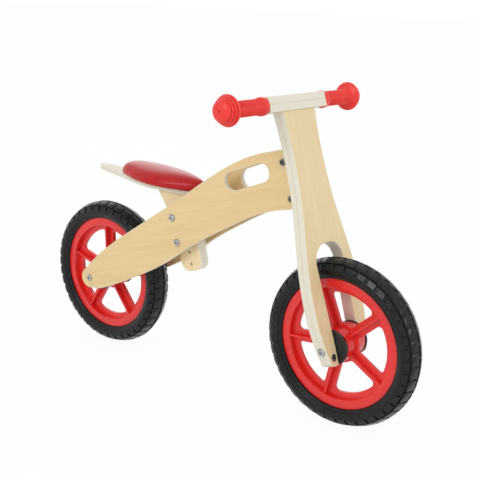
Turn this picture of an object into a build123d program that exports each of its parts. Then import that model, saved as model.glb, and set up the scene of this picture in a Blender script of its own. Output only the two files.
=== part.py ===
"""Wooden balance bike: splayed plywood side panels, plate fork, two plastic wheels and a padded seat.

Millimetres, +X forward, +Y to the rider's left, +Z up.
The origin is on the ground, midway between the two axles.
"""

import os
from math import atan2, cos, degrees, radians, sin, sqrt, tan

from build123d import *

# Overall sizes
WHEEL_DIAMETER = 290.0
WHEELBASE = 554.0
BAR_LENGTH = 370.0
FORK_LEAN = 18.0
HEAD_LENGTH = 100.0

# Boards
FORK_THICKNESS = 21.0
PANEL_THICKNESS = 9.0
POST_THICKNESS = 21.0
BOARD_THICKNESS = 9.5
BOARD_EDGE = 1.5

# Splay of the side panels: over their outer faces at the axle, between their inner faces at the head
REAR_HALF_WIDTH = 61.0
HEAD_HALF_GAP = 3.85

# Fork plate: half widths across it and stretches along it
FORK_TOP_HALF = 44.5
FORK_WAIST_HALF = 40.0
HIP_SWELL = 8.8
LEG_WIDTH = 26.5
LEG_END = 28.5
ARCH_GAP = 24.0
ARCH_RADIUS = 32.0
ARCH_SPLAY = 5.0
NECK = 62.0
STEM = 59.5
DOWEL_RADIUS = 6.4
DOWEL_INSET = 10.0
DOWEL_DROP = 14.0

# Steering
PIVOT_BEHIND_FORK = 11.5
PANEL_PAST_PIVOT = 2.5
PIVOT_PIN_RADIUS = 4.0
HEAD_BUSH_WALL = 1.0
HEAD_TUBE_WALL = 1.5
HEAD_TUBE_STAND = 4.5
HEAD_BOLT_INSET = 19.0
HEAD_BOLT_WALL = 1.2
HEAD_BOLT_HEAD = 5.4
BRACKET_WIDTH = 26.0
BRACKET_PLATE = 3.0
BRACKET_LUG = 4.0
BRACKET_HEIGHT = 35.0

# Wheels
TYRE_WIDTH = 47.0
TYRE_DEPTH = 33.0
RIM_WIDTH = 29.0
RIM_FLANGE = 15.0
RIM_WEB_RING = 9.8
SPOKES = 5
SPOKE_HALF_WIDTH = 10.6
WEB_THICKNESS = 6.0
RIB_THICKNESS = 3.6
RIB_DEPTH = 26.0
FRONT_SPOKE_ANGLE = 42.0
REAR_SPOKE_ANGLE = 21.0
HUB_RADIUS = 29.0
HUB_WALL = 4.0
HUB_CORE_RADIUS = 13.0
HUB_HALF = 26.0
WHEEL_BUSH_RADIUS = 8.0
BUSH_FLANGE = 1.5
AXLE_RADIUS = 4.0
SPACER_DISC_RADIUS = 30.0
SPACER_DISC_THICKNESS = 4.1
SPACER_BOSS_RADIUS = 11.5
SPACER_BOSS = 3.0

# Seat
SEAT_OVER_WHEEL = 64.5
SEAT_TILT = 3.5
SEAT_LENGTH = 194.0
SEAT_HALF_WIDTH = 47.0
SEAT_REAR_RADIUS = 34.0
SEAT_NOSE_RADIUS = 14.0
SEAT_REAR_LEAN = -0.35
SEAT_NOSE_LEAN = 0.5
SEAT_CROWN = 27.0
POST_LEAN = 15.0
POST_HALF_WIDTH = 25.0
POST_HOLE_PITCH = 23.0

# Handlebar and grips
BAR_SECTION = 25.0
BAR_SPIGOT_RADIUS = 11.0
GRIP_LENGTH = 107.0
GRIP_COLLAR_RADIUS = 15.4
GRIP_SLEEVE_RADIUS = 13.0
GRIP_FLANGE_RADIUS = 24.7
GRIP_STEP = 4.6

# Fasteners
BOLT_RADIUS = 3.0
BOLT_HEAD_RADIUS = 6.5
BOLT_HEAD_HEIGHT = 3.5
SCREW_RADIUS = 2.2
SCREW_HEAD_RADIUS = 4.4

# Clearances
RUNNING_FIT = 0.05
PRESS_FIT = 0.02
HOLE_CLEARANCE = 0.2
AXIAL_PLAY = 0.4
SPOT_DEPTH = 0.9
SPOT_MARGIN = 0.7

# Wheels and axles, derived
WHEEL_RADIUS = WHEEL_DIAMETER / 2
REAR_X = -WHEELBASE / 2
FRONT_X = WHEELBASE / 2
RIM_RADIUS = WHEEL_RADIUS - TYRE_DEPTH
FLANGE_RADIUS = RIM_RADIUS - RIM_FLANGE
OPENING_RADIUS = FLANGE_RADIUS - RIM_WEB_RING
SPACER_START = HUB_HALF + BUSH_FLANGE + AXIAL_PLAY
SPACER_DISC_END = SPACER_START + SPACER_DISC_THICKNESS

# Fork plate, derived: heights run along the plate from the front axle
ARCH_HALF = SPACER_DISC_END + SPACER_BOSS
FORK_AXLE_HALF = ARCH_HALF + LEG_WIDTH
FORK_HIP_HALF = FORK_AXLE_HALF + HIP_SWELL
FORK_SEAT = FORK_AXLE_HALF - 1.5
ARCH_TOP = WHEEL_RADIUS + ARCH_GAP
HEAD_BOTTOM = ARCH_TOP + NECK
HEAD_TOP = HEAD_BOTTOM + HEAD_LENGTH
FORK_LENGTH = HEAD_TOP + STEM
LEAN = radians(FORK_LEAN)
FORK_REAR = -FORK_THICKNESS / 2
BAR_CENTRE = FORK_LENGTH + BAR_SECTION / 2
GRIP_START = BAR_LENGTH / 2 - GRIP_LENGTH

# Steering, derived
PIVOT = FORK_REAR - PIVOT_BEHIND_FORK
HEAD_BUSH_RADIUS = PIVOT_PIN_RADIUS + RUNNING_FIT + HEAD_BUSH_WALL
HEAD_TUBE_RADIUS = HEAD_BUSH_RADIUS + PRESS_FIT + HEAD_TUBE_WALL
HEAD_TUBE_BOTTOM = HEAD_BOTTOM - HEAD_TUBE_STAND
HEAD_TUBE_TOP = HEAD_TOP + HEAD_TUBE_STAND
LUG_TOP = HEAD_TUBE_TOP + BUSH_FLANGE + AXIAL_PLAY
LUG_BOTTOM = HEAD_TUBE_BOTTOM - BUSH_FLANGE - AXIAL_PLAY
HEAD_BOLT_DEPTH = PIVOT - HEAD_TUBE_RADIUS - BOLT_RADIUS - HEAD_BOLT_WALL
HEAD_BOLT_HEIGHTS = (HEAD_BOTTOM + HEAD_BOLT_INSET, HEAD_TOP - HEAD_BOLT_INSET)
PANEL_FRONT = PIVOT + PANEL_PAST_PIVOT
EYE_RADIUS = PIVOT_BEHIND_FORK - 1.0


def head_point(along, forward):
    """Station in front of the rear axle, and height, of a point given in the axes of the fork plate."""
    station = WHEELBASE - along * sin(LEAN) + forward * cos(LEAN)
    height = WHEEL_RADIUS + along * cos(LEAN) + forward * sin(LEAN)
    return (station, height)


# Side panels, derived: their outline is drawn in fractions of the run and rise from axle to head
HEAD_RUN, HEAD_HEIGHT = head_point(HEAD_TOP, PANEL_FRONT)
HEAD_RISE = HEAD_HEIGHT - WHEEL_RADIUS
FRONT_STATION = head_point((HEAD_BOTTOM + HEAD_TOP) / 2, PIVOT)[0]
FRONT_HALF_WIDTH = HEAD_HALF_GAP + PANEL_THICKNESS
PANEL_SLOPE = (REAR_HALF_WIDTH - FRONT_HALF_WIDTH) / FRONT_STATION
PANEL_COS = 1 / sqrt(1 + PANEL_SLOPE**2)
PANEL_SIN = PANEL_SLOPE * PANEL_COS


def side_point(run, rise):
    """Station and height of a point given in fractions of the panel's run and rise."""
    return (HEAD_RUN * run, WHEEL_RADIUS + HEAD_RISE * rise)


# Seat, derived
SEAT_STATION = side_point(0.289, 0)[0]
SEAT_HEIGHT = WHEEL_DIAMETER + SEAT_OVER_WHEEL
POST_TILT = radians(POST_LEAN)
POST_TOP_BOLT = side_point(0.464, 0.502)
POST_RISE = (SEAT_HEIGHT - POST_TOP_BOLT[1]) * 1.2
TAIL_RADIUS = 10.0
TAIL_REACH = 141.0

FORK_PLANE = Plane(origin=(FRONT_X, 0, WHEEL_RADIUS), x_dir=(0, 1, 0), z_dir=(cos(LEAN), 0, sin(LEAN)))
PANEL_PLANE = Plane(
    origin=(REAR_X, -REAR_HALF_WIDTH, WHEEL_RADIUS),
    x_dir=(PANEL_COS, PANEL_SIN, 0),
    z_dir=(PANEL_SIN, -PANEL_COS, 0),
)
SEAT_PLANE = Plane(
    origin=(REAR_X + SEAT_STATION, 0, SEAT_HEIGHT),
    x_dir=(cos(radians(SEAT_TILT)), 0, -sin(radians(SEAT_TILT))),
    z_dir=(sin(radians(SEAT_TILT)), 0, cos(radians(SEAT_TILT))),
)
POST_PLANE = Plane(
    origin=(REAR_X + POST_TOP_BOLT[0], 0, POST_TOP_BOLT[1]),
    x_dir=(cos(POST_TILT), 0, sin(POST_TILT)),
    z_dir=(0, -1, 0),
)


def in_plane(plane, shape):
    """Move a shape drawn about the origin into a plane's own axes."""
    return plane.location * shape


def mirrored(shape):
    """The same piece on the rider's left."""
    return mirror(shape, about=Plane.XZ)


def rod_y(x, z, radius, start, end):
    """Round bar along Y from one y to another."""
    return Pos(x, (start + end) / 2, z) * Rot(90, 0, 0) * Cylinder(radius, abs(end - start))


def fork_rod(across, along, radius, start, end):
    """Round bar square to the fork plate, given in the plate's own axes."""
    return in_plane(FORK_PLANE, Pos(across, along, (start + end) / 2) * Cylinder(radius, abs(end - start)))


def pivot_rod(radius, start, end):
    """Round bar on the steering axis between two heights along the fork."""
    bar = Rot(90, 0, 0) * Cylinder(radius, abs(end - start))
    return in_plane(FORK_PLANE, Pos(0, (start + end) / 2, PIVOT) * bar)


def panel_point(station, height):
    """A point of the side outline, in the axes of the splayed panel."""
    return (station / PANEL_COS, height - WHEEL_RADIUS)


def panel_outer(station):
    """Half width over the panels at a distance in front of the rear axle."""
    return REAR_HALF_WIDTH - PANEL_SLOPE * station


def post_point(step):
    """Station and height of a hole in the seat post, counted down from the top bolt."""
    drop = step * POST_HOLE_PITCH
    return (POST_TOP_BOLT[0] + drop * sin(POST_TILT), POST_TOP_BOLT[1] - drop * cos(POST_TILT))


HEAD_BOLTS = [head_point(along, HEAD_BOLT_DEPTH) for along in HEAD_BOLT_HEIGHTS]
SEAT_BOLTS = [post_point(0), post_point(2)]
POST_HOLES = [post_point(step) for step in range(5)]
PANEL_BOLTS = HEAD_BOLTS + SEAT_BOLTS


def bolt_seat(station):
    """Half width at which a bolt head sits, in its spot face on the sloping panel."""
    return panel_outer(station) - SPOT_DEPTH


def domed_head(radius, height, socket):
    """Low round head standing on z = 0, with a hexagon socket in its top."""
    head = Cylinder(radius, height, align=(Align.CENTER, Align.CENTER, Align.MIN))
    head = fillet(head.edges().group_by(Axis.Z)[-1], height * 0.6)
    hexagon = extrude(RegularPolygon(socket, 6), height)
    return head - Pos(0, 0, height * 0.4) * hexagon


def bolt_across(x, z, seat, radius, head_radius):
    """Bolt along Y with its head on the rider's right and its plain end short of the cap nut's crown."""
    head = Pos(x, -seat, z) * Rot(90, 0, 0) * domed_head(head_radius, BOLT_HEAD_HEIGHT, radius * 0.75)
    return head + rod_y(x, z, radius, -seat, seat)


def cap_nut(x, z, seat, radius, head_radius):
    """Domed cap nut on the rider's left, with a short sleeve round the bolt's end."""
    head = Pos(x, seat, z) * Rot(-90, 0, 0) * domed_head(head_radius, BOLT_HEAD_HEIGHT, radius * 0.75)
    sleeve = rod_y(x, z, radius + 1.2, seat - PANEL_THICKNESS / 2, seat)
    return head + sleeve - rod_y(x, z, radius + PRESS_FIT, seat - PANEL_THICKNESS, seat)


def group(shapes):
    """Separate solids kept together as one node."""
    return Compound(children=list(shapes))


def panel_outline():
    """Side outline of a panel: rounded at the axle, arched over the carry handle."""
    top_front = panel_point(*head_point(HEAD_TOP, PANEL_FRONT))
    bottom_front = panel_point(*head_point(HEAD_BOTTOM, PANEL_FRONT))
    nose_top = panel_point(-14, WHEEL_RADIUS + 14)
    nose_back = panel_point(-20, WHEEL_RADIUS)
    nose_low = panel_point(2, WHEEL_RADIUS - 20)
    above = [(0.023, 0.126), (0.20, 0.330), (0.524, 0.651), (0.743, 0.868), (0.882, 0.959)]
    below = [(0.924, 0.641), (0.767, 0.531), (0.559, 0.350), (0.434, 0.220), (0.199, 0.032), (0.065, -0.052)]
    nose = ThreePointArc(nose_low, nose_back, nose_top)
    top = [Vector(*panel_point(*side_point(*p))) for p in above] + [Vector(*top_front)]
    bottom = [Vector(*bottom_front)] + [Vector(*panel_point(*side_point(*p))) for p in below]
    upper = Spline(nose_top, *top, tangents=(nose % 1, top[-1] - top[-2]))
    front = Line(top_front, bottom_front)
    lower = Spline(*bottom, nose_low, tangents=(bottom[1] - bottom[0], nose % 0))
    return make_face([upper, front, lower, nose])


def carry_slot():
    """Slot for a hand, through a panel."""
    left = Vector(*panel_point(*side_point(0.760, 0.780)))
    right = Vector(*panel_point(*side_point(0.887, 0.852)))
    middle = (left + right) * 0.5
    line = right - left
    slot = SlotCenterToCenter(line.length, 33)
    return Pos(middle.X, middle.Y) * Rot(0, 0, degrees(atan2(line.Y, line.X))) * slot


def panel_slab():
    """Everything outside the inner face of the right panel, to cut wedges to it."""
    return in_plane(PANEL_PLANE, Pos(0, 0, 100 - PANEL_THICKNESS) * Box(2000, 2000, 200))


def side_panel():
    """Right side panel with its bolt holes, spot faces, carry slot and head tube channel."""
    board = extrude(panel_outline() - carry_slot(), -PANEL_THICKNESS)
    outer_face = board.faces().sort_by(Axis.Z)[-1]
    board = chamfer(outer_face.edges(), BOARD_EDGE / 2)
    panel = in_plane(PANEL_PLANE, board)
    panel -= pivot_rod(HEAD_TUBE_RADIUS + PRESS_FIT, HEAD_TUBE_BOTTOM - 20, HEAD_TUBE_TOP + 20)
    holes = [(station, height, BOLT_RADIUS + 1.2 + HOLE_CLEARANCE) for station, height in PANEL_BOLTS]
    holes.append((0.0, WHEEL_RADIUS, AXLE_RADIUS + 1.2 + HOLE_CLEARANCE))
    for station, height, radius in holes:
        seat = bolt_seat(station)
        panel -= rod_y(REAR_X + station, height, radius, -seat - 20, -seat + 30)
        panel -= rod_y(REAR_X + station, height, BOLT_HEAD_RADIUS + SPOT_MARGIN, -seat - 20, -seat)
    return panel


def head_block():
    """Wedge between the panels behind the head tube, drilled for the head bolts."""
    front = PIVOT - HEAD_TUBE_RADIUS - 0.3
    depth = 24.0
    height = HEAD_TOP - HEAD_BOTTOM - 12
    middle = (HEAD_TOP + HEAD_BOTTOM) / 2 + 2
    block = in_plane(FORK_PLANE, Pos(0, middle, front - depth / 2) * Box(60, height, depth))
    slab = panel_slab()
    block = block - slab - mirrored(slab)
    for station, height in HEAD_BOLTS:
        block -= rod_y(REAR_X + station, height, BOLT_RADIUS + HOLE_CLEARANCE, -40, 40)
    return block


def head_tube():
    """Steel tube clamped in the panels' channels."""
    outer = pivot_rod(HEAD_TUBE_RADIUS, HEAD_TUBE_BOTTOM, HEAD_TUBE_TOP)
    return outer - pivot_rod(HEAD_BUSH_RADIUS + PRESS_FIT, HEAD_TUBE_BOTTOM - 1, HEAD_TUBE_TOP + 1)


def head_bush(end, way):
    """Flanged bush in one end of the head tube, pointing up or down the steering axis."""
    sleeve = pivot_rod(HEAD_BUSH_RADIUS, end - way * 22, end)
    flange = pivot_rod(HEAD_TUBE_RADIUS + 1.5, end, end + way * BUSH_FLANGE)
    bore = pivot_rod(PIVOT_PIN_RADIUS + RUNNING_FIT, end - way * 30, end + way * 10)
    return sleeve + flange - bore


def fork_outline():
    """Front outline of the fork plate, with the arch between its legs."""
    side = [
        (FORK_TOP_HALF, FORK_LENGTH),
        (FORK_WAIST_HALF, FORK_LENGTH * 0.79),
        (FORK_WAIST_HALF + 7, FORK_LENGTH * 0.59),
        (FORK_HIP_HALF - 8, FORK_LENGTH * 0.39),
        (FORK_HIP_HALF, FORK_LENGTH * 0.19),
        (FORK_AXLE_HALF, 0.0),
        (FORK_AXLE_HALF - 5, -LEG_END * 0.58),
    ]
    foot = (ARCH_HALF + 8, -LEG_END)
    toe = (FORK_AXLE_HALF - 10, -LEG_END * 0.92)
    outer = Spline(*side)
    heel = ThreePointArc(side[-1], toe, foot)
    sole = Line(foot, (0, -LEG_END))
    middle = Line((0, -LEG_END), (0, FORK_LENGTH))
    crown = Line((0, FORK_LENGTH), side[0])
    half = make_face([outer, heel, sole, middle, crown])
    below = -LEG_END - 80
    bend = 16.0
    wide = ARCH_HALF + ARCH_SPLAY
    right = [(ARCH_HALF, below), (ARCH_HALF, bend), (wide, ARCH_TOP)]
    left = [(-wide, ARCH_TOP), (-ARCH_HALF, bend), (-ARCH_HALF, below)]
    arch = make_face(Polyline(*right, *left, close=True))
    arch = fillet(arch.vertices().group_by(Axis.Y)[-1], ARCH_RADIUS)
    return half + mirror(half, about=Plane.YZ) - arch


def fork_plate():
    """One board with two legs, drilled for the axle, leg dowels, bracket screws and bar screws."""
    board = extrude(fork_outline(), FORK_THICKNESS / 2, both=True)
    outline = board.edges().filter_by(Axis.Z, reverse=True)
    board = chamfer(outline, BOARD_EDGE / 2)
    fork = in_plane(FORK_PLANE, board)
    fork -= rod_y(FRONT_X, WHEEL_RADIUS, AXLE_RADIUS + 1.2 + HOLE_CLEARANCE, -90, 90)
    spot = rod_y(FRONT_X, WHEEL_RADIUS, BOLT_HEAD_RADIUS + SPOT_MARGIN, -FORK_SEAT - 20, -FORK_SEAT)
    fork = fork - spot - mirrored(spot)
    fork -= leg_dowels(HOLE_CLEARANCE / 2, 0.0)
    fork -= bracket_screws(HOLE_CLEARANCE / 2)
    fork -= handlebar_screws(HOLE_CLEARANCE / 2)
    return fork


def leg_dowels(extra=0.0, slot=1.8):
    """Slotted cross dowels in the front of the legs, below the axle."""
    dowels = []
    for across in (-ARCH_HALF - DOWEL_INSET, ARCH_HALF + DOWEL_INSET):
        dowel = fork_rod(across, -DOWEL_DROP, DOWEL_RADIUS + extra, -5.0, FORK_THICKNESS / 2)
        if slot:
            face = Pos(across, -DOWEL_DROP, FORK_THICKNESS / 2) * Box(20, slot, 2.4)
            dowel -= in_plane(FORK_PLANE, face)
        dowels.append(dowel)
    return group(dowels)


def fork_bracket(lug_face, way):
    """Steel angle on the back of the fork: a plate against the wood and a lug for the pivot pin."""
    back = FORK_REAR - BRACKET_PLATE
    plate_middle = lug_face + way * BRACKET_HEIGHT / 2
    plate = Pos(0, plate_middle, FORK_REAR - BRACKET_PLATE / 2) * Box(BRACKET_WIDTH, BRACKET_HEIGHT, BRACKET_PLATE)
    lug_middle = lug_face + way * BRACKET_LUG / 2
    arm = Pos(0, lug_middle, (back + PIVOT) / 2) * Box(2 * EYE_RADIUS, BRACKET_LUG, back - PIVOT)
    eye = Pos(0, lug_middle, PIVOT) * Rot(90, 0, 0) * Cylinder(EYE_RADIUS, BRACKET_LUG)
    bracket = in_plane(FORK_PLANE, plate + arm + eye)
    bracket -= pivot_rod(PIVOT_PIN_RADIUS + PRESS_FIT, lug_face - 10, lug_face + 10)
    return bracket - bracket_screws(HOLE_CLEARANCE / 2)


def bracket_screws(extra=0.0):
    """Pan head screws that hold the brackets to the fork."""
    screws = []
    for along in (LUG_TOP + 0.66 * BRACKET_HEIGHT, LUG_BOTTOM - 0.66 * BRACKET_HEIGHT):
        for across in (-7.5, 7.5):
            back = FORK_REAR - BRACKET_PLATE
            shank = fork_rod(across, along, SCREW_RADIUS + extra, back, FORK_REAR + 16)
            head = fork_rod(across, along, SCREW_HEAD_RADIUS, back - 2.4, back)
            screws.append(shank + head)
    return group(screws)


def steering_pin():
    """Long bolt on the steering axis, its head on the upper lug."""
    head_face = LUG_TOP + BRACKET_LUG
    shank = pivot_rod(PIVOT_PIN_RADIUS, LUG_BOTTOM - BRACKET_LUG - 11, head_face)
    head = Pos(0, head_face, PIVOT) * Rot(-90, 0, 0) * domed_head(7.0, 5.0, 3.0)
    return shank + in_plane(FORK_PLANE, head)


def steering_nut():
    """Hexagon nut under the lower lug."""
    top = LUG_BOTTOM - BRACKET_LUG
    nut = Pos(0, top, PIVOT) * Rot(90, 0, 0) * extrude(RegularPolygon(6.5, 6, major_radius=False), 7.0)
    return in_plane(FORK_PLANE, nut) - pivot_rod(PIVOT_PIN_RADIUS + PRESS_FIT, top - 10, top + 10)


def handlebar():
    """Square bar across the fork's top, turned round inside the grips."""
    square = Box(2 * GRIP_START, BAR_SECTION, BAR_SECTION)
    square = fillet(square.edges().filter_by(Axis.X), BOARD_EDGE)
    spigot_end = BAR_LENGTH / 2 - 18
    spigot = Rot(0, 90, 0) * Cylinder(BAR_SPIGOT_RADIUS, 2 * spigot_end)
    bar = in_plane(FORK_PLANE, Pos(0, BAR_CENTRE, 0) * (square + spigot))
    return bar - handlebar_screws(HOLE_CLEARANCE / 2)


def handlebar_screws(extra=0.0):
    """Countersunk screws down through the bar into the end of the fork plate."""
    top = FORK_LENGTH + BAR_SECTION
    screws = []
    for across in (-24.0, 24.0):
        shank = Rot(90, 0, 0) * Cylinder(SCREW_RADIUS + extra, 56)
        head = Rot(-90, 0, 0) * Cone(SCREW_RADIUS + extra, SCREW_HEAD_RADIUS + extra, 3.4)
        screw = Pos(across, top - 28.5, 0) * shank + Pos(across, top - 2.2, 0) * head
        screws.append(in_plane(FORK_PLANE, screw))
    return group(screws)


def grip():
    """Right grip: collar, sleeve, guard flange and stepped end, with a blind bore and a vent."""
    start = GRIP_START
    tip = BAR_LENGTH / 2
    step = GRIP_STEP
    collar_end = start + 11
    flange_end = tip - 4 * step
    flange_start = flange_end - 9.5
    points = [
        (start, 0),
        (start, GRIP_COLLAR_RADIUS - 2),
        (start + 2, GRIP_COLLAR_RADIUS),
        (collar_end - 1.5, GRIP_COLLAR_RADIUS),
        (collar_end, GRIP_SLEEVE_RADIUS),
        (flange_start, GRIP_SLEEVE_RADIUS),
        (flange_start + 6, GRIP_FLANGE_RADIUS - 1),
        (flange_start + 8, GRIP_FLANGE_RADIUS),
        (flange_end, GRIP_FLANGE_RADIUS - 0.5),
        (flange_end, GRIP_FLANGE_RADIUS - 2.2),
        (flange_end + step, GRIP_FLANGE_RADIUS - 2.8),
        (flange_end + step, GRIP_FLANGE_RADIUS - 4.6),
        (flange_end + 2 * step, GRIP_FLANGE_RADIUS - 5.2),
        (flange_end + 2 * step, GRIP_FLANGE_RADIUS - 7.2),
        (flange_end + 3 * step, GRIP_FLANGE_RADIUS - 7.9),
        (tip - 1.4, GRIP_FLANGE_RADIUS - 13),
        (tip, GRIP_FLANGE_RADIUS - 19),
        (tip, 0),
    ]
    profile = make_face(Polyline(*points, close=True))
    solid = revolve(profile, Axis.X)
    bore_end = BAR_LENGTH / 2 - 18 + AXIAL_PLAY
    solid -= Pos((start + bore_end) / 2, 0, 0) * Rot(0, 90, 0) * Cylinder(
        BAR_SPIGOT_RADIUS + PRESS_FIT, bore_end - start
    )
    solid -= Pos(tip, 0, 0) * Rot(0, 90, 0) * Cylinder(1.2, 60)
    return in_plane(FORK_PLANE, Pos(0, BAR_CENTRE, 0) * Rot(0, 0, 180) * solid)


def spoke_opening():
    """Rounded opening between two spokes, in the plane of the wheel."""
    half_step = 180.0 / SPOKES
    reach = OPENING_RADIUS + 20
    side = tan(radians(half_step)) * reach
    sector = make_face(Polyline((0, 0), (reach, -side), (reach, side), close=True))
    opening = (Circle(OPENING_RADIUS) - Circle(HUB_RADIUS + 5)) & sector
    for way in (-1, 1):
        spoke = Pos(reach / 2, 0) * Rectangle(reach, 2 * SPOKE_HALF_WIDTH)
        opening -= Rot(0, 0, way * half_step) * spoke
    return fillet(opening.vertices(), 7.0)


def rim(phase):
    """Plastic wheel about the Y axis: tyre ring, thin web with rounded openings, ribs and hollow hub."""
    ring = Cylinder(RIM_RADIUS, RIM_WIDTH) - Cylinder(FLANGE_RADIUS, RIM_WIDTH)
    web = Circle(FLANGE_RADIUS + 1)
    for number in range(SPOKES):
        web -= Rot(0, 0, (number + 0.5) * 360 / SPOKES) * spoke_opening()
    body = ring + extrude(web, WEB_THICKNESS / 2, both=True) + Cylinder(HUB_RADIUS, 2 * HUB_HALF)
    rib_length = FLANGE_RADIUS - HUB_RADIUS + 4
    for number in range(SPOKES):
        rib = Pos(HUB_RADIUS - 2 + rib_length / 2, 0, 0) * Box(rib_length, RIB_THICKNESS, RIB_DEPTH)
        body += Rot(0, 0, number * 360 / SPOKES) * rib
    pocket_depth = HUB_HALF - WEB_THICKNESS / 2
    pocket = Cylinder(HUB_RADIUS - HUB_WALL, pocket_depth) - Cylinder(HUB_CORE_RADIUS, pocket_depth)
    for way in (-1, 1):
        body -= Pos(0, 0, way * (HUB_HALF - pocket_depth / 2)) * pocket
    body -= Cylinder(WHEEL_BUSH_RADIUS + PRESS_FIT, 2 * HUB_HALF + 2)
    return Rot(90, 0, 0) * Rot(0, 0, phase) * body


def tyre():
    """Foam tyre: a rounded ring seated on the rim, about the Y axis."""
    half = TYRE_WIDTH / 2
    seat = RIM_RADIUS + PRESS_FIT
    crown = ThreePointArc((WHEEL_RADIUS - 6, -half * 0.72), (WHEEL_RADIUS, 0), (WHEEL_RADIUS - 6, half * 0.72))
    left = ThreePointArc((WHEEL_RADIUS - 6, half * 0.72), (RIM_RADIUS + 15, half), (seat, half * 0.68))
    base = Line((seat, half * 0.68), (seat, -half * 0.68))
    right = ThreePointArc((seat, -half * 0.68), (RIM_RADIUS + 15, -half), (WHEEL_RADIUS - 6, -half * 0.72))
    return revolve(make_face([crown, left, base, right]), Axis.Y)


def wheel_bush():
    """Flanged nylon bush in the right end of a hub, about the Y axis."""
    sleeve = rod_y(0, 0, WHEEL_BUSH_RADIUS, -HUB_HALF, -HUB_HALF + 20)
    flange = rod_y(0, 0, WHEEL_BUSH_RADIUS + 3.5, -HUB_HALF - BUSH_FLANGE, -HUB_HALF)
    return sleeve + flange - rod_y(0, 0, AXLE_RADIUS + RUNNING_FIT, -HUB_HALF - 10, 0)


def spacer(end):
    """Right hub spacer about the Y axis: a broad disc beside the hub and a boss out to the frame."""
    disc = rod_y(0, 0, SPACER_DISC_RADIUS, -SPACER_DISC_END, -SPACER_START)
    disc = fillet(disc.edges(), 1.2)
    boss = rod_y(0, 0, SPACER_BOSS_RADIUS, -end, -SPACER_DISC_END + 1)
    return disc + boss - rod_y(0, 0, AXLE_RADIUS + PRESS_FIT, -end - 5, 0)


def rear_spacer():
    """Right rear spacer, its boss cut to the slope of the panel."""
    placed = Pos(REAR_X, 0, WHEEL_RADIUS) * spacer(REAR_HALF_WIDTH)
    return placed - panel_slab()


def oval(inset, height):
    """Seat outline with round ends and full sides, drawn in by an inset, at a height."""
    shrink = 1 - inset / SEAT_HALF_WIDTH
    back_end = -SEAT_LENGTH * 0.41
    rear = (back_end + SEAT_REAR_RADIUS, SEAT_REAR_RADIUS * shrink)
    nose = (back_end + SEAT_LENGTH - SEAT_NOSE_RADIUS, SEAT_NOSE_RADIUS * shrink)
    edges = []
    for way in (1, -1):

        def on(circle, lean):
            return (circle[0] + circle[1] * lean, way * circle[1] * sqrt(1 - lean**2))

        def along(lean):
            return (sqrt(1 - lean**2), -way * lean)

        widest = (back_end + SEAT_LENGTH * 0.47, way * SEAT_HALF_WIDTH * shrink)
        edges.append(ThreePointArc((rear[0] - rear[1], 0), on(rear, -0.8), on(rear, SEAT_REAR_LEAN)))
        ends = (along(SEAT_REAR_LEAN), along(SEAT_NOSE_LEAN))
        edges.append(Spline(on(rear, SEAT_REAR_LEAN), widest, on(nose, SEAT_NOSE_LEAN), tangents=ends))
        edges.append(ThreePointArc(on(nose, SEAT_NOSE_LEAN), on(nose, 0.85), (nose[0] + nose[1], 0)))
    return Pos(0, 0, height) * make_face(edges)


def seat_pad():
    """Padded cushion: drawn in at the board, full at the sides, crowned on top."""
    sections = [
        oval(1.5, 0.0),
        oval(0.0, SEAT_CROWN * 0.30),
        oval(2.5, SEAT_CROWN * 0.62),
        oval(10.0, SEAT_CROWN * 0.87),
        oval(26.0, SEAT_CROWN),
    ]
    return in_plane(SEAT_PLANE, loft(sections))


def seat_board():
    """Plywood board under the pad, with a long narrow tail."""
    outline = make_hull(
        (Pos(-TAIL_REACH, 0) * Circle(TAIL_RADIUS)).edges()
        + Circle(SEAT_HALF_WIDTH - 12).edges()
        + (Pos(SEAT_LENGTH * 0.6 - 24, 0) * Circle(SEAT_NOSE_RADIUS - 2)).edges()
    )
    board = extrude(outline, -BOARD_THICKNESS)
    board = fillet(board.edges().group_by(Axis.Z)[0], BOARD_EDGE)
    return in_plane(SEAT_PLANE, board) - seat_screws(HOLE_CLEARANCE / 2)


def seat_screws(extra=0.0):
    """Countersunk screws down through the board into the top of the post."""
    screws = []
    for along in (44.0, 82.0):
        shank = Pos(along, 0, -18.5) * Cylinder(SCREW_RADIUS + extra, 33)
        head = Pos(along, 0, -2.2) * Cone(SCREW_RADIUS + extra, SCREW_HEAD_RADIUS + extra, 3.4)
        screws.append(in_plane(SEAT_PLANE, shank + head))
    return group(screws)


def seat_post():
    """Upright board in the middle of the bike with a row of height holes, flared under the seat."""
    low = -4 * POST_HOLE_PITCH - 13
    radius = 18.0
    half = POST_HALF_WIDTH
    shaft = Pos(0, low / 2 + 10) * Rectangle(2 * half, -low + 20)
    shaft = fillet(shaft.vertices().group_by(Axis.Y)[0], radius)
    bulge = (-half - 9, -20 + 0.35 * (POST_RISE + 20))
    wing = (-half - 34, POST_RISE)
    corner = (half, POST_RISE)
    back_edge = Spline((-half, -20), bulge, wing, tangents=((0, 1), (-0.6, 0.8)))
    flare = make_face([back_edge, Line(wing, corner), Line(corner, (half, -20)), Line((half, -20), (-half, -20))])
    board = extrude(shaft + flare, POST_THICKNESS / 2, both=True)
    board = chamfer(board.edges().filter_by(Axis.Z, reverse=True), BOARD_EDGE / 2)
    post = in_plane(POST_PLANE, board)
    post -= in_plane(SEAT_PLANE, Pos(0, 0, 100 - BOARD_THICKNESS) * Box(600, 200, 200))
    for station, height in POST_HOLES:
        post -= rod_y(REAR_X + station, height, BOLT_RADIUS + HOLE_CLEARANCE, -40, 40)
    return post - seat_screws(HOLE_CLEARANCE / 2)


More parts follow.
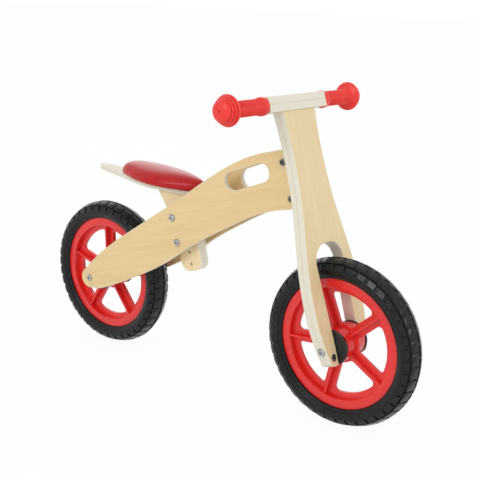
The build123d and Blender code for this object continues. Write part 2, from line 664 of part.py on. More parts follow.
def seat_spacer():
    """Right spacer block between the post and the sloping panel, round both seat bolts."""
    length = 2 * POST_HOLE_PITCH + 30
    width = 28.0
    reach = REAR_HALF_WIDTH
    middle = Pos(0, -POST_HOLE_PITCH, POST_THICKNESS / 2 + reach / 2)
    block = in_plane(POST_PLANE, middle * Box(width, length, reach)) - panel_slab()
    for station, height in SEAT_BOLTS:
        block -= rod_y(REAR_X + station, height, BOLT_RADIUS + HOLE_CLEARANCE, -100, 0)
    return block


def bolts_at(places, head=BOLT_HEAD_RADIUS):
    """Bolts across the frame at given stations and heights."""
    return group(bolt_across(REAR_X + s, h, bolt_seat(s), BOLT_RADIUS, head) for s, h in places)


def nuts_at(places):
    """Cap nuts for the bolts across the frame."""
    return group(cap_nut(REAR_X + s, h, bolt_seat(s), BOLT_RADIUS, BOLT_HEAD_RADIUS) for s, h in places)


def frame_pieces():
    """Pieces fixed to the side panels."""
    right_panel = side_panel()
    right_rear_spacer = rear_spacer()
    right_seat_spacer = seat_spacer()
    return {
        "side_panel_right": right_panel,
        "side_panel_left": mirrored(right_panel),
        "head_block": head_block(),
        "head_tube": head_tube(),
        "head_bush_upper": head_bush(HEAD_TUBE_TOP, 1),
        "head_bush_lower": head_bush(HEAD_TUBE_BOTTOM, -1),
        "head_bolts": bolts_at(HEAD_BOLTS, HEAD_BOLT_HEAD),
        "head_nuts": nuts_at(HEAD_BOLTS),
        "seat_post": seat_post(),
        "seat_spacer_right": right_seat_spacer,
        "seat_spacer_left": mirrored(right_seat_spacer),
        "seat_bolts": bolts_at(SEAT_BOLTS),
        "seat_nuts": nuts_at(SEAT_BOLTS),
        "seat_board": seat_board(),
        "seat_screws": seat_screws(),
        "seat_pad": seat_pad(),
        "rear_axle": bolt_across(REAR_X, WHEEL_RADIUS, bolt_seat(0), AXLE_RADIUS, BOLT_HEAD_RADIUS),
        "rear_axle_nut": cap_nut(REAR_X, WHEEL_RADIUS, bolt_seat(0), AXLE_RADIUS, BOLT_HEAD_RADIUS),
        "rear_spacer_right": right_rear_spacer,
        "rear_spacer_left": mirrored(right_rear_spacer),
    }


def fork_pieces():
    """Pieces that turn with the handlebar."""
    right_grip = grip()
    right_spacer = Pos(FRONT_X, 0, WHEEL_RADIUS) * spacer(ARCH_HALF)
    return {
        "fork_plate": fork_plate(),
        "leg_dowels": leg_dowels(),
        "fork_bracket_upper": fork_bracket(LUG_TOP, 1),
        "fork_bracket_lower": fork_bracket(LUG_BOTTOM, -1),
        "bracket_screws": bracket_screws(),
        "steering_pin": steering_pin(),
        "steering_nut": steering_nut(),
        "handlebar": handlebar(),
        "handlebar_screws": handlebar_screws(),
        "grip_right": right_grip,
        "grip_left": mirrored(right_grip),
        "front_axle": bolt_across(FRONT_X, WHEEL_RADIUS, FORK_SEAT, AXLE_RADIUS, BOLT_HEAD_RADIUS),
        "front_axle_nut": cap_nut(FRONT_X, WHEEL_RADIUS, FORK_SEAT, AXLE_RADIUS, BOLT_HEAD_RADIUS),
        "front_spacer_right": right_spacer,
        "front_spacer_left": mirrored(right_spacer),
    }


def wheel_pieces(name, x, phase):
    """Tyre, rim and bushes of one wheel."""
    place = Pos(x, 0, WHEEL_RADIUS)
    right_bush = wheel_bush()
    return {
        f"{name}_tyre": place * tyre(),
        f"{name}_rim": place * rim(phase),
        f"{name}_bush_right": place * right_bush,
        f"{name}_bush_left": place * mirrored(right_bush),
    }


def main():
    """Write every piece to its own file."""
    pieces = frame_pieces()
    pieces.update(fork_pieces())
    pieces.update(wheel_pieces("front", FRONT_X, FRONT_SPOKE_ANGLE))
    pieces.update(wheel_pieces("rear", REAR_X, REAR_SPOKE_ANGLE))
    os.makedirs("parts", exist_ok=True)
    for name, shape in pieces.items():
        export_step(shape, f"parts/{name}.step")


main()
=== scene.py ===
"""Looks of a plywood balance bike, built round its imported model.

Every length is in metres unless its name ends in _mm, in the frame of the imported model:
+X forwards, +Y to the rider's left, +Z up, with the ground at z = 0.
"""

from __future__ import annotations

import logging
import math
from dataclasses import dataclass, field
from enum import Enum
from typing import Mapping, Optional, Sequence, Union

import bmesh
import bpy
import numpy as np
from mathutils import Matrix, Vector

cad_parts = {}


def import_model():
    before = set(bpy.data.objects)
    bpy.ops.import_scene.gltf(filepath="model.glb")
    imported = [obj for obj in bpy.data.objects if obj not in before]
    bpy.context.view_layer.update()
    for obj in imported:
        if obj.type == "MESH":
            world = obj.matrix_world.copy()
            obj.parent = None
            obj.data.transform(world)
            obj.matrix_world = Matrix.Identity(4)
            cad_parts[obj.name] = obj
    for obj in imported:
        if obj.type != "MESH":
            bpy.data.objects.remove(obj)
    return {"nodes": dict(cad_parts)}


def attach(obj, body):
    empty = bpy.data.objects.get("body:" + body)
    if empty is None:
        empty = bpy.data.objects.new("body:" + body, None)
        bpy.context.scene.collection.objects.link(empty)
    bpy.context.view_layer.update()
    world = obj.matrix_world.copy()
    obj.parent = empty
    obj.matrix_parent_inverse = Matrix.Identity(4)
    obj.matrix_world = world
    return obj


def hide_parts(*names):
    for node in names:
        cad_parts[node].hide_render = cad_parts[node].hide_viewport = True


Triple = tuple[float, float, float]
Pair = tuple[float, float]
Socket = bpy.types.NodeSocket
Material = bpy.types.Material
Mesh = bpy.types.Mesh
Piece = bpy.types.Object
Feed = Union[float, int, str, Sequence[float], Socket, Material]
Nodes = Mapping[str, Piece]

LOG = logging.getLogger("balance_bike")
MM = 0.001
WELD = 0.01 * MM  # points nearer than this become one
STRAIGHT = 0.01  # radians from straight at which a corner stays as it is
CORNER_SHARE = 0.49  # the most of an outline's side that one rounded corner takes
IMAGE_SIDE = 480  # the photograph's, in pixels
SENSOR = 36.0  # the camera's, in mm
WHITE = (1.0, 1.0, 1.0, 1.0)
AXLE_X = 277.0 * MM
AXLE_Z = 145.0 * MM
BAR_CENTRE: Triple = (152.466 * MM, 0.0, 528.276 * MM)
SEAT_ORIGIN: Triple = (-151.814 * MM, 0.0, 354.5 * MM)
SEAT_TILT = math.radians(3.5)
UPWARDS: Triple = (0.0, 0.0, 1.0)
LEFTWARDS: Triple = (0.0, 1.0, 0.0)
RIGHTWARDS: Triple = (0.0, -1.0, 0.0)
REPLACED = (
    "front_tyre",
    "rear_tyre",
    "front_rim",
    "rear_rim",
    "grip_right",
    "grip_left",
    "seat_pad",
)


class Body(Enum):
    """Moving bodies of the bike."""

    FRAME = "frame"
    FORK = "fork"
    FRONT_WHEEL = "front_wheel"
    REAR_WHEEL = "rear_wheel"


class Slot(Enum):
    """Material slots of the bike's parts, apart from the boards', which their nodes keep."""

    TYRE_FOAM = "tyre_foam"
    WHEEL_PLASTIC = "wheel_plastic"
    GRIP_RUBBER = "grip_rubber"
    SEAT_VINYL = "seat_vinyl"
    BUSH_NYLON = "bush_nylon"
    SPACER_PLASTIC = "spacer_plastic"
    BLACK_STEEL = "black_steel"
    BRACKET_STEEL = "bracket_steel"
    ZINC_STEEL = "zinc_steel"


class Side(Enum):
    """Side of the bike, with the way that its y runs."""

    RIGHT = -1
    LEFT = 1


def rgba(colour: Triple) -> tuple[float, float, float, float]:
    """Give a linear colour its alpha."""
    return (*colour, 1.0)


class Canvas:
    """A node tree that is drawn with short calls."""

    def __init__(self, tree: bpy.types.NodeTree) -> None:
        """Keep the shader or geometry tree that nodes are added to."""
        self.tree = tree

    def add(
        self,
        kind: str,
        inputs: Optional[Mapping[Union[str, int], Feed]] = None,
        **settings: object,
    ) -> bpy.types.Node:
        """Add one node.

        Args:
            kind: the node's type name.
            inputs: values or sockets for its inputs, by name or number.
            settings: properties of the node.

        Returns:
            The new node.
        """
        node = self.tree.nodes.new(kind)
        for key, value in settings.items():
            setattr(node, key, value)
        for key, value in (inputs or {}).items():
            self.feed(node.inputs[key], value)
        return node

    def feed(self, socket: Socket, value: Feed) -> None:
        """Link a socket to an input, or set the input's value.

        Args:
            socket: the input.
            value: a socket to link from, or a plain value.
        """
        if isinstance(value, Socket):
            self.tree.links.new(value, socket)
        else:
            socket.default_value = value

    def math(self, operation: str, first: Feed, second: Feed = 0.0, third: Feed = 0.0) -> Socket:
        """Add a math node and give its result."""
        inputs = {0: first, 1: second, 2: third}
        return self.add("ShaderNodeMath", inputs, operation=operation).outputs[0]

    def vector(self, x: Feed = 0.0, y: Feed = 0.0, z: Feed = 0.0) -> Socket:
        """Join three numbers into a vector."""
        return self.add("ShaderNodeCombineXYZ", {0: x, 1: y, 2: z}).outputs[0]


class Paint(Canvas):
    """The node tree of one material, with its principled shader."""

    def __init__(self, name: str, **constants: Feed) -> None:
        """Make the material.

        Args:
            name: the material's name.
            constants: plain values of the shader's own inputs, with _ for a space.
        """
        self.material = bpy.data.materials.new(name)
        self.material.use_nodes = True
        super().__init__(self.material.node_tree)
        self.tree.nodes.clear()
        self.shader = self.add("ShaderNodeBsdfPrincipled")
        sockets = {socket.name.lower(): socket for socket in self.shader.inputs}
        for key, value in constants.items():
            self.feed(sockets[key.replace("_", " ")], value)
        self.add("ShaderNodeOutputMaterial", {"Surface": self.shader.outputs[0]})
        self.place = self.add("ShaderNodeTexCoord").outputs["Object"]

    def noise(
        self,
        vector: Feed,
        scale: Union[float, Triple],
        detail: float = 2.0,
        roughness: float = 0.5,
        distortion: float = 0.0,
    ) -> Socket:
        """Add a noise texture.

        Args:
            vector: where it is read.
            scale: cells to a metre, one number or one for each axis.
            detail: octaves.
            roughness: weight of the fine octaves.
            distortion: swirl.

        Returns:
            A value of about 0.2 to 0.8.
        """
        if isinstance(scale, tuple):
            by_axis = {0: vector, 1: scale}
            vector = self.add("ShaderNodeVectorMath", by_axis, operation="MULTIPLY").outputs[0]
            scale = 1.0
        inputs = {
            "Vector": vector,
            "Scale": scale,
            "Detail": detail,
            "Roughness": roughness,
            "Distortion": distortion,
        }
        return self.add("ShaderNodeTexNoise", inputs).outputs[0]

    def span(
        self, value: Feed, low: float, high: float, start: float = 0.0, stop: float = 1.0
    ) -> Socket:
        """Map low to high onto start to stop, with a soft start and end."""
        inputs = {0: value, 1: low, 2: high, 3: start, 4: stop}
        return self.add("ShaderNodeMapRange", inputs, interpolation_type="SMOOTHSTEP").outputs[0]

    def mix(self, factor: Feed, first: Feed, second: Feed) -> Socket:
        """Mix two colours, by how much of the second."""
        inputs = {0: factor, 6: first, 7: second}
        return self.add("ShaderNodeMix", inputs, data_type="RGBA").outputs[2]

    def lay(self, under: Feed, over: Triple, pattern: Feed, *limits: float) -> Socket:
        """Lay a colour over another by a pattern, with the limits that span takes."""
        return self.mix(self.span(pattern, *limits), under, rgba(over))

    def finish(
        self, colour: Feed, roughness: Feed, height: Feed, strength: float, depth_mm: float
    ) -> Material:
        """Join the patterns to the shader.

        Args:
            colour: base colour.
            roughness: surface roughness.
            height: height of the fine relief.
            strength: how strongly the relief shows.
            depth_mm: how deep the relief is.

        Returns:
            The finished material.
        """
        self.feed(self.shader.inputs["Base Color"], colour)
        self.feed(self.shader.inputs["Roughness"], roughness)
        inputs = {"Strength": strength, "Distance": depth_mm * MM, "Height": height}
        self.feed(self.shader.inputs["Normal"], self.add("ShaderNodeBump", inputs).outputs[0])
        return self.material


@dataclass(frozen=True)
class BirchPly:
    """Clear lacquered birch plywood: veneer on its two faces, plies round its edges.

    The cells of each pattern are counted to a metre: along the grain, across it and through it.
    """

    name: str
    centre: Triple
    grain: Triple
    through: Triple
    thickness: float
    plies: int = 7
    face: Triple = (0.770, 0.595, 0.310)
    figure: Triple = (0.680, 0.480, 0.215)
    edge: Triple = (0.755, 0.725, 0.605)
    cross_ply: Triple = (0.720, 0.665, 0.530)
    glue: Triple = (0.560, 0.470, 0.340)
    cloud_cells: Triple = (7.0, 75.0, 20.0)
    wander_cells: Triple = (5.0, 14.0, 10.0)
    fibre_cells: Triple = (38.0, 1250.0, 500.0)
    fleck_cells: Triple = (150.0, 2300.0, 600.0)
    pore_cells: Triple = (420.0, 420.0, 900.0)
    streak_cells: Triple = (26.0, 26.0, 1500.0)
    rings_to_metre: float = 95.0
    ring_wander: float = 7.0
    veneer_mm: Pair = (0.30, 0.06)

    def board_place(self, paint: Paint) -> Socket:
        """Turn the bike's coordinates into the board's: x along the grain, z through the plies.

        Args:
            paint: the material.

        Returns:
            The place in the board, from its middle.
        """
        grain, through = Vector(self.grain).normalized(), Vector(self.through).normalized()
        axes = Matrix((grain, through.cross(grain), through)).transposed()
        inputs = {"Vector": paint.place, "Location": self.centre, "Rotation": axes.to_euler("XYZ")}
        return paint.add("ShaderNodeMapping", inputs, vector_type="TEXTURE").outputs[0]

    def veneer(self, paint: Paint, place: Feed, fibre: Feed) -> Socket:
        """Colour of the face veneer.

        Args:
            paint: the material.
            place: place in the board.
            fibre: the fine fibre pattern.

        Returns:
            The colour.
        """
        cloud = paint.noise(place, self.cloud_cells, detail=3.0, distortion=0.8)
        colour = paint.lay(rgba(self.face), self.figure, cloud, 0.36, 0.70, 0.0, 0.42)
        wander = paint.noise(place, self.wander_cells)
        across = paint.add("ShaderNodeSeparateXYZ", {0: place}).outputs["Y"]
        even = paint.math("MULTIPLY", across, self.rings_to_metre)
        rings = paint.math("ADD", even, paint.math("MULTIPLY", wander, self.ring_wander))
        line = paint.math("PINGPONG", rings, 0.5)
        colour = paint.lay(colour, self.figure, line, 0.0, 0.16, 0.26, 0.0)
        colour = paint.lay(colour, self.figure, fibre, 0.42, 0.68, 0.0, 0.30)
        fleck = paint.noise(place, self.fleck_cells, detail=1.0)
        return paint.lay(colour, self.glue, fleck, 0.66, 0.74, 0.0, 0.22)

    def ply_edge(self, paint: Paint, place: Feed, depth: Feed) -> Socket:
        """Colour of the cut edge, ply by ply.

        Args:
            paint: the material.
            place: place in the board.
            depth: signed place through the thickness.

        Returns:
            The colour.
        """
        ply = self.thickness / self.plies
        count = paint.math("DIVIDE", paint.math("ADD", depth, self.thickness / 2), ply)
        turned = paint.math("GREATER_THAN", paint.math("FLOORED_MODULO", count, 2.0), 1.0)
        pore = paint.noise(place, self.pore_cells)
        streak = paint.noise(place, self.streak_cells)
        share = paint.math("MULTIPLY", turned, 0.40)
        colour = paint.mix(share, rgba(self.edge), rgba(self.cross_ply))
        colour = paint.lay(colour, self.cross_ply, pore, 0.50, 0.72, 0.0, 0.28)
        colour = paint.lay(colour, self.cross_ply, streak, 0.52, 0.72, 0.0, 0.30)
        seam = paint.math("PINGPONG", count, 0.5)
        colour = paint.lay(colour, self.glue, seam, 0.02, 0.14, 0.22, 0.0)
        heart = paint.span(paint.math("ABSOLUTE", depth), ply * 0.3, ply, 0.58, 0.0)
        broken = paint.math("MULTIPLY", heart, paint.span(streak, 0.36, 0.58, 0.25, 1.0))
        return paint.mix(broken, colour, rgba(self.glue))

    def material(self) -> Material:
        """Make the plywood's material, set to the board's own plane."""
        paint = Paint(self.name, coat_weight=0.12, coat_roughness=0.22, specular_ior_level=0.45)
        place = self.board_place(paint)
        depth = paint.add("ShaderNodeSeparateXYZ", {0: place}).outputs["Z"]
        fibre = paint.noise(place, self.fibre_cells, detail=3.0, roughness=0.6)
        limits = (self.thickness / 2 - under * MM for under in self.veneer_mm)
        on_face = paint.span(paint.math("ABSOLUTE", depth), *limits)
        edge = self.ply_edge(paint, place, depth)
        colour = paint.mix(on_face, edge, self.veneer(paint, place, fibre))
        rough = paint.span(paint.noise(paint.place, 24.0), 0.3, 0.7, 0.34, 0.48)
        return paint.finish(colour, rough, fibre, strength=0.12, depth_mm=0.25)


@dataclass(frozen=True)
class FoamRubber:
    """Black foam of the tyres, with skin pores and block tops rubbed paler."""

    name: str = "tyre_foam"
    colour: Triple = (0.0058, 0.0058, 0.0062)
    rubbed: Triple = (0.0085, 0.0088, 0.0092)
    dust: Triple = (0.0190, 0.0187, 0.0180)

    def material(self) -> Material:
        """Make the foam's material."""
        paint = Paint(self.name, specular_ior_level=0.27)
        pore = paint.noise(paint.place, 1100.0, detail=2.0, roughness=0.6)
        cloud = paint.noise(paint.place, 38.0, detail=3.0)
        worn = paint.add("ShaderNodeAttribute", attribute_name="worn").outputs["Fac"]
        patchy = paint.span(cloud, 0.25, 0.70, 0.55, 1.0)
        top = paint.math("MULTIPLY", paint.span(worn, 0.75, 1.0), patchy)
        colour = paint.mix(top, rgba(self.colour), rgba(self.rubbed))
        colour = paint.lay(colour, self.dust, cloud, 0.52, 0.75, 0.0, 0.20)
        colour = paint.lay(colour, self.rubbed, pore, 0.56, 0.72, 0.0, 0.30)
        rough = paint.span(cloud, 0.3, 0.7, 0.19, 0.29)
        return paint.finish(colour, rough, pore, strength=0.08, depth_mm=0.4)


@dataclass(frozen=True)
class MouldedPlastic:
    """Moulded plastic with a faint skin, and a slow change of tone from its filling."""

    name: str
    colour: Triple
    shade: Triple
    roughness: Pair = (0.26, 0.38)
    skin_scale: float = 1400.0
    relief: float = 0.07
    specular: float = 0.5
    coat: float = 0.0

    def material(self) -> Material:
        """Make the plastic's material."""
        paint = Paint(
            self.name,
            specular_ior_level=self.specular,
            coat_weight=self.coat,
            coat_roughness=0.16,
        )
        flow = paint.noise(paint.place, 17.0, detail=3.0, distortion=0.6)
        skin = paint.noise(paint.place, self.skin_scale, detail=2.0)
        scuff = paint.noise(paint.place, (60.0, 420.0, 60.0), detail=3.0)
        colour = paint.lay(rgba(self.colour), self.shade, flow, 0.30, 0.72)
        colour = paint.lay(colour, self.shade, skin, 0.55, 0.75, 0.0, 0.12)
        rough = paint.span(scuff, 0.35, 0.70, *self.roughness)
        return paint.finish(colour, rough, skin, strength=self.relief, depth_mm=0.3)


RIM_PLASTIC = MouldedPlastic(
    "wheel_plastic", (0.790, 0.0190, 0.0150), (0.730, 0.0140, 0.0120), coat=0.15
)


@dataclass(frozen=True)
class GripRubber:
    """Soft red rubber of the grips, satin, with fine pores."""

    name: str = "grip_rubber"
    colour: Triple = (0.810, 0.031, 0.022)
    shade: Triple = (0.730, 0.021, 0.016)

    def material(self) -> Material:
        """Make the rubber's material."""
        paint = Paint(self.name, specular_ior_level=0.50)
        cloud = paint.noise(paint.place, 42.0, detail=3.0)
        pore = paint.noise(paint.place, 1500.0, detail=2.0)
        colour = paint.lay(rgba(self.colour), self.shade, cloud, 0.30, 0.72)
        colour = paint.lay(colour, self.shade, pore, 0.58, 0.74, 0.0, 0.25)
        rough = paint.span(cloud, 0.3, 0.7, 0.30, 0.42)
        return paint.finish(colour, rough, pore, strength=0.10, depth_mm=0.3)


@dataclass(frozen=True)
class SeatVinyl:
    """Glossy red vinyl of the seat, with a pressed grain whose creases are darkened with painted
    shade.
    """

    name: str = "seat_vinyl"
    colour: Triple = (0.480, 0.0110, 0.0130)
    shade: Triple = (0.430, 0.0075, 0.0095)

    def material(self) -> Material:
        """Make the vinyl's material."""
        paint = Paint(self.name, specular_ior_level=0.24, sheen_weight=0.40, sheen_roughness=0.30)
        grain = {"Vector": paint.place, "Scale": 900.0}
        cells = paint.add("ShaderNodeTexVoronoi", grain, feature="DISTANCE_TO_EDGE")
        crease = paint.span(cells.outputs[0], 0.0, 0.22)
        cloud = paint.noise(paint.place, 30.0, detail=3.0)
        fine = paint.noise(paint.place, 2200.0, detail=1.0)
        pressed = paint.math("MULTIPLY", crease, 0.8)
        height = paint.math("ADD", pressed, paint.math("MULTIPLY", fine, 0.2))
        colour = paint.lay(rgba(self.colour), self.shade, cloud, 0.30, 0.72, 0.0, 0.7)
        # Painted shade: the grain's creases are mixed towards the darker shade colour.
        colour = paint.mix(paint.math("SUBTRACT", 1.0, crease), colour, rgba(self.shade))
        rough = paint.span(cloud, 0.3, 0.7, 0.23, 0.29)
        return paint.finish(colour, rough, height, strength=0.02, depth_mm=0.2)


@dataclass(frozen=True)
class Steel:
    """Metal of the fittings, plated or coated, with fine turning marks."""

    name: str
    colour: Triple
    shade: Triple
    roughness: Pair
    metallic: float = 1.0
    relief: float = 0.10

    def material(self) -> Material:
        """Make the metal's material."""
        paint = Paint(self.name, metallic=self.metallic, specular_ior_level=0.5)
        turned = paint.noise(paint.place, (320.0, 2600.0, 320.0), detail=2.0)
        patina = paint.noise(paint.place, 160.0, detail=4.0, roughness=0.6)
        colour = paint.lay(rgba(self.colour), self.shade, patina, 0.35, 0.70)
        marks = paint.math("MULTIPLY", paint.math("ADD", turned, patina), 0.5)
        rough = paint.span(marks, 0.35, 0.65, *self.roughness)
        return paint.finish(colour, rough, turned, strength=self.relief, depth_mm=0.2)


class GeometryTool:
    """A Geometry Nodes tree with named inputs, ending in Realize Instances and Set Material."""

    def __init__(self, name: str, sockets: Mapping[str, str]) -> None:
        """Make the tree and its inputs.

        Args:
            name: the tree's name.
            sockets: input names with their socket types.
        """
        self.tree = bpy.data.node_groups.new(name, "GeometryNodeTree")
        self.canvas = Canvas(self.tree)
        face = self.tree.interface
        face.new_socket("Geometry", in_out="INPUT", socket_type="NodeSocketGeometry")
        face.new_socket("Geometry", in_out="OUTPUT", socket_type="NodeSocketGeometry")
        self.keys: dict[str, str] = {}
        for label, kind in {**sockets, "Finish": "NodeSocketMaterial"}.items():
            self.keys[label] = face.new_socket(label, in_out="INPUT", socket_type=kind).identifier
        self.entry = self.canvas.add("NodeGroupInput")

    def value(self, label: str) -> Socket:
        """Give the named input."""
        return self.entry.outputs[label]

    def join(self, *sources: Socket) -> Socket:
        """Join geometries into one.

        Args:
            sources: the geometries in order.

        Returns:
            The joined geometry.
        """
        joined = self.canvas.add("GeometryNodeJoinGeometry")
        for source in sources:
            self.canvas.feed(joined.inputs[0], source)
        return joined.outputs[0]

    def close(self, instances: Socket) -> None:
        """Join the instances to the incoming mesh, make them real and give them their finish.

        Args:
            instances: what the tree repeats.
        """
        joined = self.join(instances, self.value("Geometry"))
        real = self.canvas.add("GeometryNodeRealizeInstances", {0: joined})
        finish = {"Geometry": real.outputs[0], "Material": self.value("Finish")}
        dressed = self.canvas.add("GeometryNodeSetMaterial", finish)
        self.canvas.add("NodeGroupOutput", {0: dressed.outputs[0]})

    def attach(self, piece: Piece, **values: Feed) -> None:
        """Put the tree on a piece, with its inputs set by identifier.

        Args:
            piece: the piece.
            values: the inputs by name.
        """
        modifier = piece.modifiers.new(self.tree.name, "NODES")
        modifier.node_group = self.tree
        for label, value in values.items():
            modifier[self.keys[label]] = value


class TreadTool(GeometryTool):
    """One row of skewed, rounded blocks round a tyre."""

    WALL_SHARE = 0.50
    WALL_SCALE = 0.985
    TOP_SCALE = 0.86
    CORNER_STEPS = 2

    def __init__(self) -> None:
        """Draw the tree."""
        places = ("Phase", "Radius", "Across", "Lean")
        sizes = ("Length", "Width", "Height", "Sink", "Skew", "Corner")
        sockets = {"Count": "NodeSocketInt", "Axle": "NodeSocketVector"}
        sockets.update({label: "NodeSocketFloat" for label in places + sizes})
        super().__init__("tread_row", sockets)
        self.close(self.ring(self.block()))

    def block(self) -> Socket:
        """Draw one closed block, its base sunk under the tread and its top edge eased.

        Returns:
            The block's mesh at the top of the wheel.
        """
        canvas = self.canvas
        sides = {
            "Width": self.value("Length"),
            "Height": self.value("Width"),
            "Offset": self.value("Skew"),
        }
        outline = canvas.add("GeometryNodeCurvePrimitiveQuadrilateral", sides, mode="PARALLELOGRAM")
        corners = {
            "Curve": outline.outputs[0],
            "Count": self.CORNER_STEPS,
            "Radius": self.value("Corner"),
            "Limit Radius": True,
        }
        eased = {"Curve": canvas.add("GeometryNodeFilletCurve", corners, mode="POLY").outputs[0]}
        base = canvas.add("GeometryNodeFillCurve", eased, mode="NGONS").outputs[0]
        wall_height = canvas.math("MULTIPLY", self.value("Height"), self.WALL_SHARE)
        raised = {
            "Mesh": base,
            "Offset Scale": canvas.math("ADD", wall_height, self.value("Sink")),
            "Individual": False,
        }
        wall, wall_mesh = self.taper(raised, self.WALL_SCALE)
        capped = {
            "Mesh": wall_mesh,
            "Selection": wall.outputs["Top"],
            "Offset Scale": canvas.math("MULTIPLY", self.value("Height"), 1.0 - self.WALL_SHARE),
            "Individual": False,
        }
        cap, shaped = self.taper(capped, self.TOP_SCALE)
        mark = {"Geometry": shaped, "Selection": cap.outputs["Top"], "Name": "worn", "Value": 1.0}
        marked = canvas.add("GeometryNodeStoreNamedAttribute", mark, domain="POINT").outputs[0]
        floor = canvas.add("GeometryNodeFlipFaces", {"Mesh": base}).outputs[0]
        welded = {"Geometry": self.join(marked, floor), "Distance": WELD}
        sunk = {
            "Geometry": canvas.add("GeometryNodeMergeByDistance", welded).outputs[0],
            "Translation": canvas.vector(z=canvas.math("MULTIPLY", self.value("Sink"), -1.0)),
        }
        placed = {
            "Geometry": canvas.add("GeometryNodeTransform", sunk).outputs[0],
            "Translation": canvas.vector(0.0, self.value("Across"), self.value("Radius")),
            "Rotation": canvas.vector(canvas.math("MULTIPLY", self.value("Lean"), -1.0)),
        }
        return canvas.add("GeometryNodeTransform", placed).outputs[0]

    def taper(self, raised: Mapping[str, Feed], scale: float) -> tuple[bpy.types.Node, Socket]:
        """Raise faces of the block and draw their top in.

        Args:
            raised: inputs of the extrusion.
            scale: how wide the top stays.

        Returns:
            The extrusion and the tapered mesh.
        """
        wall = self.canvas.add("GeometryNodeExtrudeMesh", raised)
        top = {"Geometry": wall.outputs["Mesh"], "Selection": wall.outputs["Top"], "Scale": scale}
        return wall, self.canvas.add("GeometryNodeScaleElements", top).outputs[0]

    def ring(self, block: Socket) -> Socket:
        """Repeat the block round the axle.

        Args:
            block: the block's mesh.

        Returns:
            The instances.
        """
        canvas = self.canvas
        count = self.value("Count")
        spots = {"Count": count, "Position": self.value("Axle")}
        index = canvas.add("GeometryNodeInputIndex").outputs[0]
        share = canvas.math("DIVIDE", canvas.math("ADD", index, self.value("Phase")), count)
        repeat = {
            "Points": canvas.add("GeometryNodePoints", spots).outputs[0],
            "Instance": block,
            "Rotation": canvas.vector(0.0, canvas.math("MULTIPLY", share, math.tau), 0.0),
        }
        return canvas.add("GeometryNodeInstanceOnPoints", repeat).outputs[0]


class RibTool(GeometryTool):
    """A row of fine rings along a sleeve that lies across the bike."""

    RING_STEPS = 56
    SECTION_STEPS = 8

    def __init__(self) -> None:
        """Draw the tree."""
        lengths = ("Start", "Pitch", "Radius", "Section")
        sockets = {"Count": "NodeSocketInt", "Centre": "NodeSocketVector"}
        sockets.update({label: "NodeSocketFloat" for label in lengths})
        super().__init__("sleeve_ribs", sockets)
        canvas = self.canvas
        curves = {
            "Curve": self.circle(self.RING_STEPS, "Radius"),
            "Profile Curve": self.circle(self.SECTION_STEPS, "Section"),
        }
        upright = {
            "Geometry": canvas.add("GeometryNodeCurveToMesh", curves).outputs[0],
            "Rotation": (math.pi / 2, 0.0, 0.0),
        }
        index = canvas.add("GeometryNodeInputIndex").outputs[0]
        along = canvas.math("MULTIPLY_ADD", index, self.value("Pitch"), self.value("Start"))
        offset = {0: self.value("Centre"), 1: canvas.vector(0.0, along, 0.0)}
        spots = {
            "Count": self.value("Count"),
            "Position": canvas.add("ShaderNodeVectorMath", offset).outputs[0],
        }
        repeat = {
            "Points": canvas.add("GeometryNodePoints", spots).outputs[0],
            "Instance": canvas.add("GeometryNodeTransform", upright).outputs[0],
        }
        self.close(canvas.add("GeometryNodeInstanceOnPoints", repeat).outputs[0])

    def circle(self, steps: int, label: str) -> Socket:
        """Draw a circle with the radius of a named input."""
        inputs = {"Resolution": steps, "Radius": self.value(label)}
        return self.canvas.add("GeometryNodeCurvePrimitiveCircle", inputs).outputs[0]


def new_piece(name: str, mesh: Mesh) -> Piece:
    """Put a mesh in the scene.

    Args:
        name: the piece's name.
        mesh: its mesh, with its place in its vertices.

    Returns:
        The piece.
    """
    piece = bpy.data.objects.new(name, mesh)
    bpy.context.scene.collection.objects.link(piece)
    return piece


def set_plain(piece: Piece) -> None:
    """Turn a piece's modifiers into a plain mesh and take them off.

    Args:
        piece: the piece.
    """
    graph = bpy.context.evaluated_depsgraph_get()
    evaluated = piece.evaluated_get(graph)
    mesh = bpy.data.meshes.new_from_object(
        evaluated, preserve_all_data_layers=True, depsgraph=graph
    )
    piece.modifiers.clear()
    piece.data = mesh


def shade_smooth(mesh: Mesh, angle: float) -> None:
    """Shade a mesh smooth, with sharp edges past an angle in degrees."""
    mesh.shade_smooth()
    mesh.set_sharp_from_angle(angle=math.radians(angle))


def close_work(work: bmesh.types.BMesh, name: str) -> Mesh:
    """Write an edit mesh to a new mesh and free it.

    Args:
        work: the edit mesh.
        name: the new mesh's name.

    Returns:
        The new mesh.
    """
    mesh = bpy.data.meshes.new(name)
    work.to_mesh(mesh)
    work.free()
    return mesh


def face_outwards(mesh: Mesh) -> None:
    """Recalculate a closed mesh's normals so that its faces point outwards.

    Args:
        mesh: the mesh.
    """
    work = bmesh.new()
    work.from_mesh(mesh)
    bmesh.ops.recalc_face_normals(work, faces=work.faces)
    work.to_mesh(mesh)
    work.free()


def dress(piece: Piece, material: Material) -> None:
    """Give a piece or a CAD node one material.

    Args:
        piece: the piece.
        material: its finish.
    """
    if not piece.material_slots:
        piece.data.materials.append(material)
    for place in piece.material_slots:
        place.material = material


def declare(piece: Piece, body: Body, slot: Slot, *nodes: str) -> None:
    """Attach a piece to the body that it rides on, and hide the CAD nodes that it stands for.

    Args:
        piece: the piece.
        body: the body that it moves with.
        slot: not used.
        nodes: the CAD nodes that it stands for.
    """
    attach(piece, body.value)
    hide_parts(*nodes)
    LOG.info("%s: %d faces on %s", piece.name, len(piece.data.polygons), body.value)


